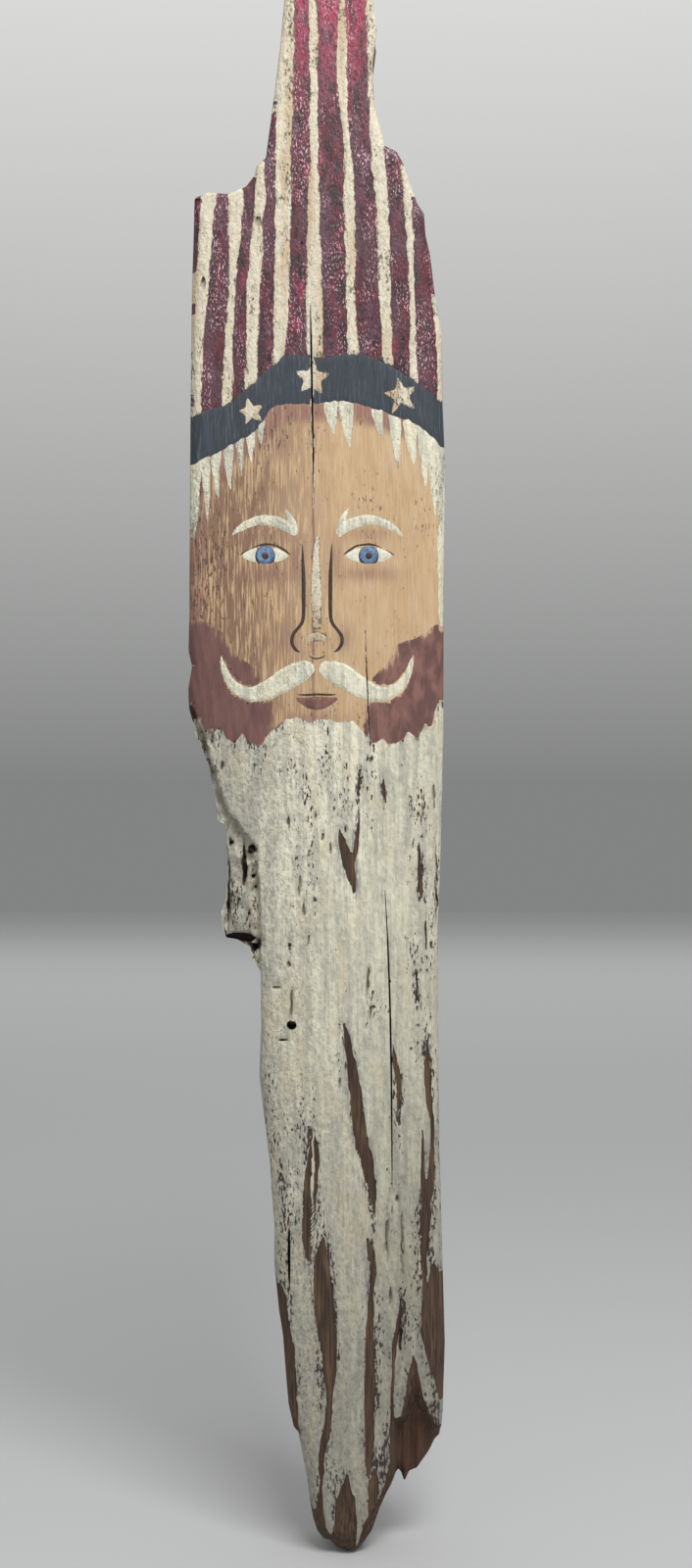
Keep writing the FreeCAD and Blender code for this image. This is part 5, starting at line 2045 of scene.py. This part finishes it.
@dataclass(frozen=True)
class Studio:
    """Camera, soft light and a plain sweep."""

    # the camera, in millimetres before the plank, right of its middle and above its foot
    away: float = 1000.0
    aside: float = 16.0
    height: float = 427.0
    lens: float = 41.67
    sky: float = 0.58
    key: float = 38.0
    # the floor, in metres: half its width, its ends, and the distances at which its grey turns
    floor_half: float = 9.0
    floor_ends: tuple[float, float] = (-6.0, 5.0)
    floor_turns: tuple[float, float, float, float] = (-0.2, 0.8, 3.0, 4.9)
    # the floor's greys from near to far are painted light and shade
    floor_near: Colour = (0.455, 0.458, 0.460)
    floor_mid: Colour = (0.425, 0.430, 0.432)
    floor_far: Colour = (0.60, 0.607, 0.61)
    floor_edge: Colour = (0.33, 0.335, 0.335)
    horizon: Colour = (0.225, 0.23, 0.227)
    zenith: Colour = (0.725, 0.73, 0.715)
    zenith_height: float = 0.42
    # the key light's panel, in metres and degrees
    panel: tuple[float, float] = (1.0, 0.5)
    key_place: tuple[float, float, float] = (0.45, -1.1, 1.15)
    key_tilt: float = 46.0
    key_turn: float = 22.0

    def camera(self, plan: Plan) -> None:
        """Sets a level camera in front of the plank.

        Args:
            plan: The plank in plan.
        """
        lens = bpy.data.cameras.new("camera")
        lens.lens, lens.clip_start, lens.clip_end = self.lens, 0.01, 100.0
        camera = bpy.data.objects.new("camera", lens)
        place = (plan.centre + self.aside, plan.front - self.away, plan.foot + self.height)
        camera.location = [v * MM for v in place]
        camera.rotation_euler = (math.pi / 2, 0.0, 0.0)
        bpy.context.scene.collection.objects.link(camera)
        bpy.context.scene.camera = camera

    def floor(self) -> None:
        """Lays a floor under the lowest point, whose grey changes with distance as painted light and shade."""
        level, half, (near, far) = CAD_BOX[0][2], self.floor_half, self.floor_ends
        sheet = [(-half, near, level), (half, near, level), (half, far, level), (-half, far, level)]
        mesh = bpy.data.meshes.new("floor")
        mesh.from_pydata(sheet, [], [(0, 1, 2, 3)])
        floor = bpy.data.objects.new("floor", mesh)
        bpy.context.scene.collection.objects.link(floor)
        n, turns = Nodes("floor"), self.floor_turns
        away, colour = n.axis("Y"), self.floor_near
        for start, end, grey in zip(turns, turns[1:], (self.floor_mid, self.floor_far, self.floor_edge)):
            colour = n.blend(n.ramp(away, start, end), colour, grey)
        mesh.materials.append(n.finish(colour, 0.75))

    def light(self) -> None:
        """A soft panel above and in front."""
        panel = bpy.data.lights.new("key", "AREA")
        panel.shape, panel.energy = "RECTANGLE", self.key
        panel.size, panel.size_y = self.panel
        key = bpy.data.objects.new("key", panel)
        key.location = self.key_place
        key.rotation_euler = (math.radians(self.key_tilt), 0.0, math.radians(self.key_turn))
        bpy.context.scene.collection.objects.link(key)

    def world(self) -> None:
        """Even light, with a graded backdrop that only direct, glossy and passed-through sight lines see."""
        world = bpy.data.worlds.new("studio")
        bpy.context.scene.world = world
        world.use_nodes = True
        tree = world.node_tree
        new, link = tree.nodes.new, tree.links.new
        split, grade, mix = new("ShaderNodeSeparateXYZ"), new("ShaderNodeMapRange"), new("ShaderNodeMix")
        link(new("ShaderNodeTexCoord").outputs["Generated"], split.inputs[0])
        link(split.outputs["Z"], grade.inputs["Value"])
        grade.inputs["From Max"].default_value = self.zenith_height
        mix.data_type = "RGBA"
        link(grade.outputs[0], mix.inputs[0])
        mix.inputs[6].default_value = (*self.horizon, 1)
        mix.inputs[7].default_value = (*self.zenith, 1)
        path, seen, glossy = new("ShaderNodeLightPath"), new("ShaderNodeMath"), new("ShaderNodeMath")
        seen.operation = glossy.operation = "MAXIMUM"
        link(path.outputs["Is Camera Ray"], seen.inputs[0])
        link(path.outputs["Is Transmission Ray"], seen.inputs[1])
        link(seen.outputs[0], glossy.inputs[0])
        link(path.outputs["Is Glossy Ray"], glossy.inputs[1])
        backdrop, ambient = tree.nodes["Background"], new("ShaderNodeBackground")
        either = new("ShaderNodeMixShader")
        link(mix.outputs[2], backdrop.inputs["Color"])
        ambient.inputs["Color"].default_value = (1.0, 1.0, 1.0, 1.0)
        ambient.inputs["Strength"].default_value = self.sky
        link(glossy.outputs[0], either.inputs[0])
        link(ambient.outputs[0], either.inputs[1])
        link(backdrop.outputs[0], either.inputs[2])
        link(either.outputs[0], tree.nodes["World Output"].inputs["Surface"])

    def build(self, plan: Plan) -> None:
        """Sets the whole studio up.

        Args:
            plan: The plank in plan.
        """
        bpy.context.scene.view_settings.view_transform = "Standard"
        self.camera(plan)
        self.floor()
        self.light()
        self.world()


COATS = (
    CoatPlan("hat_red_coat", "hat_red_paint", Layer.GROUND,
             across=1.1, up=2.4, step=0.5, shift=0.5, crust=0.20, whole=True,
             wrap=Wrap((0.16, 0.028, 0.042), 20.0, 12.0)),
    CoatPlan("hat_band_coat", "band_navy_paint", Layer.GROUND, lift=0.12,
             across=0.9, up=1.6, step=0.5, shift=0.5, crust=0.05, whole=True,
             wrap=Wrap((0.030, 0.038, 0.050), 26.0, 26.0)),
    CoatPlan("face_coat", "skin_paint", Layer.GROUND, lift=0.05,
             across=0.9, up=1.9, step=0.5, shift=0.5, crust=0.05, whole=True,
             wrap=Wrap((0.42, 0.32, 0.20), 5.0, 8.0), mark=FaceMark.SHADE),
    CoatPlan("beard_coat", "white_hair_paint", Layer.GROUND, lift=0.30,
             across=0.62, up=1.6, step=0.5, shift=0.9, crust=0.40, whole=True, dry=1.0,
             wrap=Wrap((0.52, 0.50, 0.40), 6.0, 9.0)),
    CoatPlan("hat_pale_stripes", "pale_paint", Layer.DETAIL,
             across=0.5, up=1.1, step=0.3, shift=1.1, crust=0.32, whole=True,
             wrap=Wrap((0.58, 0.52, 0.39), 4.0, 7.0)),
    CoatPlan("band_stars", "pale_paint", Layer.DETAIL, shift=0.35, crust=0.12),
    CoatPlan("hair_strokes", "white_hair_paint", Layer.DETAIL,
             across=0.42, up=0.5, shift=0.8, crust=0.14, dry=0.15),
    CoatPlan("cheek_coat", "rose_paint", Layer.DETAIL, lift=-0.25,
             across=0.8, up=1.6, step=0.5, crust=0.04, whole=True,
             over=("beard_coat", "moustache", "hair_strokes"), mark=FaceMark.SHADE),
    CoatPlan("eyebrows", "white_hair_paint", Layer.DETAIL, shift=0.45, crust=0.12),
    CoatPlan("eye_whites", "eye_white_paint", Layer.DETAIL,
             across=0.26, up=0.26, step=0.15, shift=0.1, crust=0.03),
    CoatPlan("eye_irises", "eye_blue_paint", Layer.DETAIL, lift=0.02,
             across=0.22, up=0.22, step=0.15, shift=0.1, crust=0.03, mark=FaceMark.SPOKE),
    CoatPlan("nose_light", "pale_paint", Layer.DETAIL, shift=0.35, crust=0.08),
    CoatPlan("moustache", "white_hair_paint", Layer.DETAIL, lift=0.1, shift=0.35, crust=0.14),
    CoatPlan("lower_lip", "rose_paint", Layer.DETAIL, shift=0.2, crust=0.05, firm=1.0),
    CoatPlan("face_lines", "dark_line_paint", Layer.DETAIL, lift=0.03,
             across=0.24, up=0.26, step=0.15, shift=0.16, crust=0.03),
    CoatPlan("eye_pupils", "dark_line_paint", Layer.TOP,
             across=0.2, up=0.2, step=0.15, shift=0.08, crust=0.02),
    CoatPlan("eye_glints", "pale_paint", Layer.TOP,
             across=0.16, up=0.16, step=0.12, shift=0.05, crust=0.02),
)

FINISHES = {
    "weathered_timber": TimberFinish(),
    "hat_red_paint": HatFinish(),
    "pale_paint": CreamFinish(),
    "band_navy_paint": NavyFinish(),
    "skin_paint": SkinFinish(),
    "rose_paint": RoseFinish(),
    "white_hair_paint": HairFinish(),
    "dark_line_paint": PlainFinish("dark_line_paint", (0.030, 0.017, 0.012), (0.055, 0.032, 0.022), 0.55),
    "eye_white_paint": PlainFinish("eye_white_paint", (0.66, 0.64, 0.53), (0.58, 0.55, 0.43), 0.45),
    "eye_blue_paint": IrisFinish(),
    "zinc_plated_steel": SteelFinish(),
}


def dress(piece: bpy.types.Object, finish: bpy.types.Material) -> None:
    """Gives a piece its finish and reports it."""
    piece.data.materials.append(finish)
    LOG.info("%s: %d faces", piece.name, len(piece.data.polygons))


def main() -> None:
    """Builds and dresses every piece in order."""
    wear = Wear()
    plan = Plan(wear)
    surface, lattice, face = Surface(plan, wear), Lattice(plan), Face()
    finishes = {slot: finish.material() for slot, finish in FINISHES.items()}
    plank = Plank(plan, surface, lattice)
    outlines = {}
    for coat_plan in COATS:
        coat = Coat(coat_plan, plan, surface, lattice)
        outlines[coat_plan.node] = coat.outline
        piece = coat.build()
        dress(piece, finishes[coat_plan.slot])
        if coat_plan.wrap:
            plank.wrapped_by(coat.outline, coat_plan.wrap)
        face.store(piece, coat_plan.mark, outlines.get("hat_band_coat"))
    dress(plank.build(), finishes["weathered_timber"])
    Hanger().dress(finishes["zinc_plated_steel"])
    Studio().build(plan)


if __name__ == "__main__":
    logging.basicConfig(level=logging.INFO, format="%(name)s %(message)s")
    main()
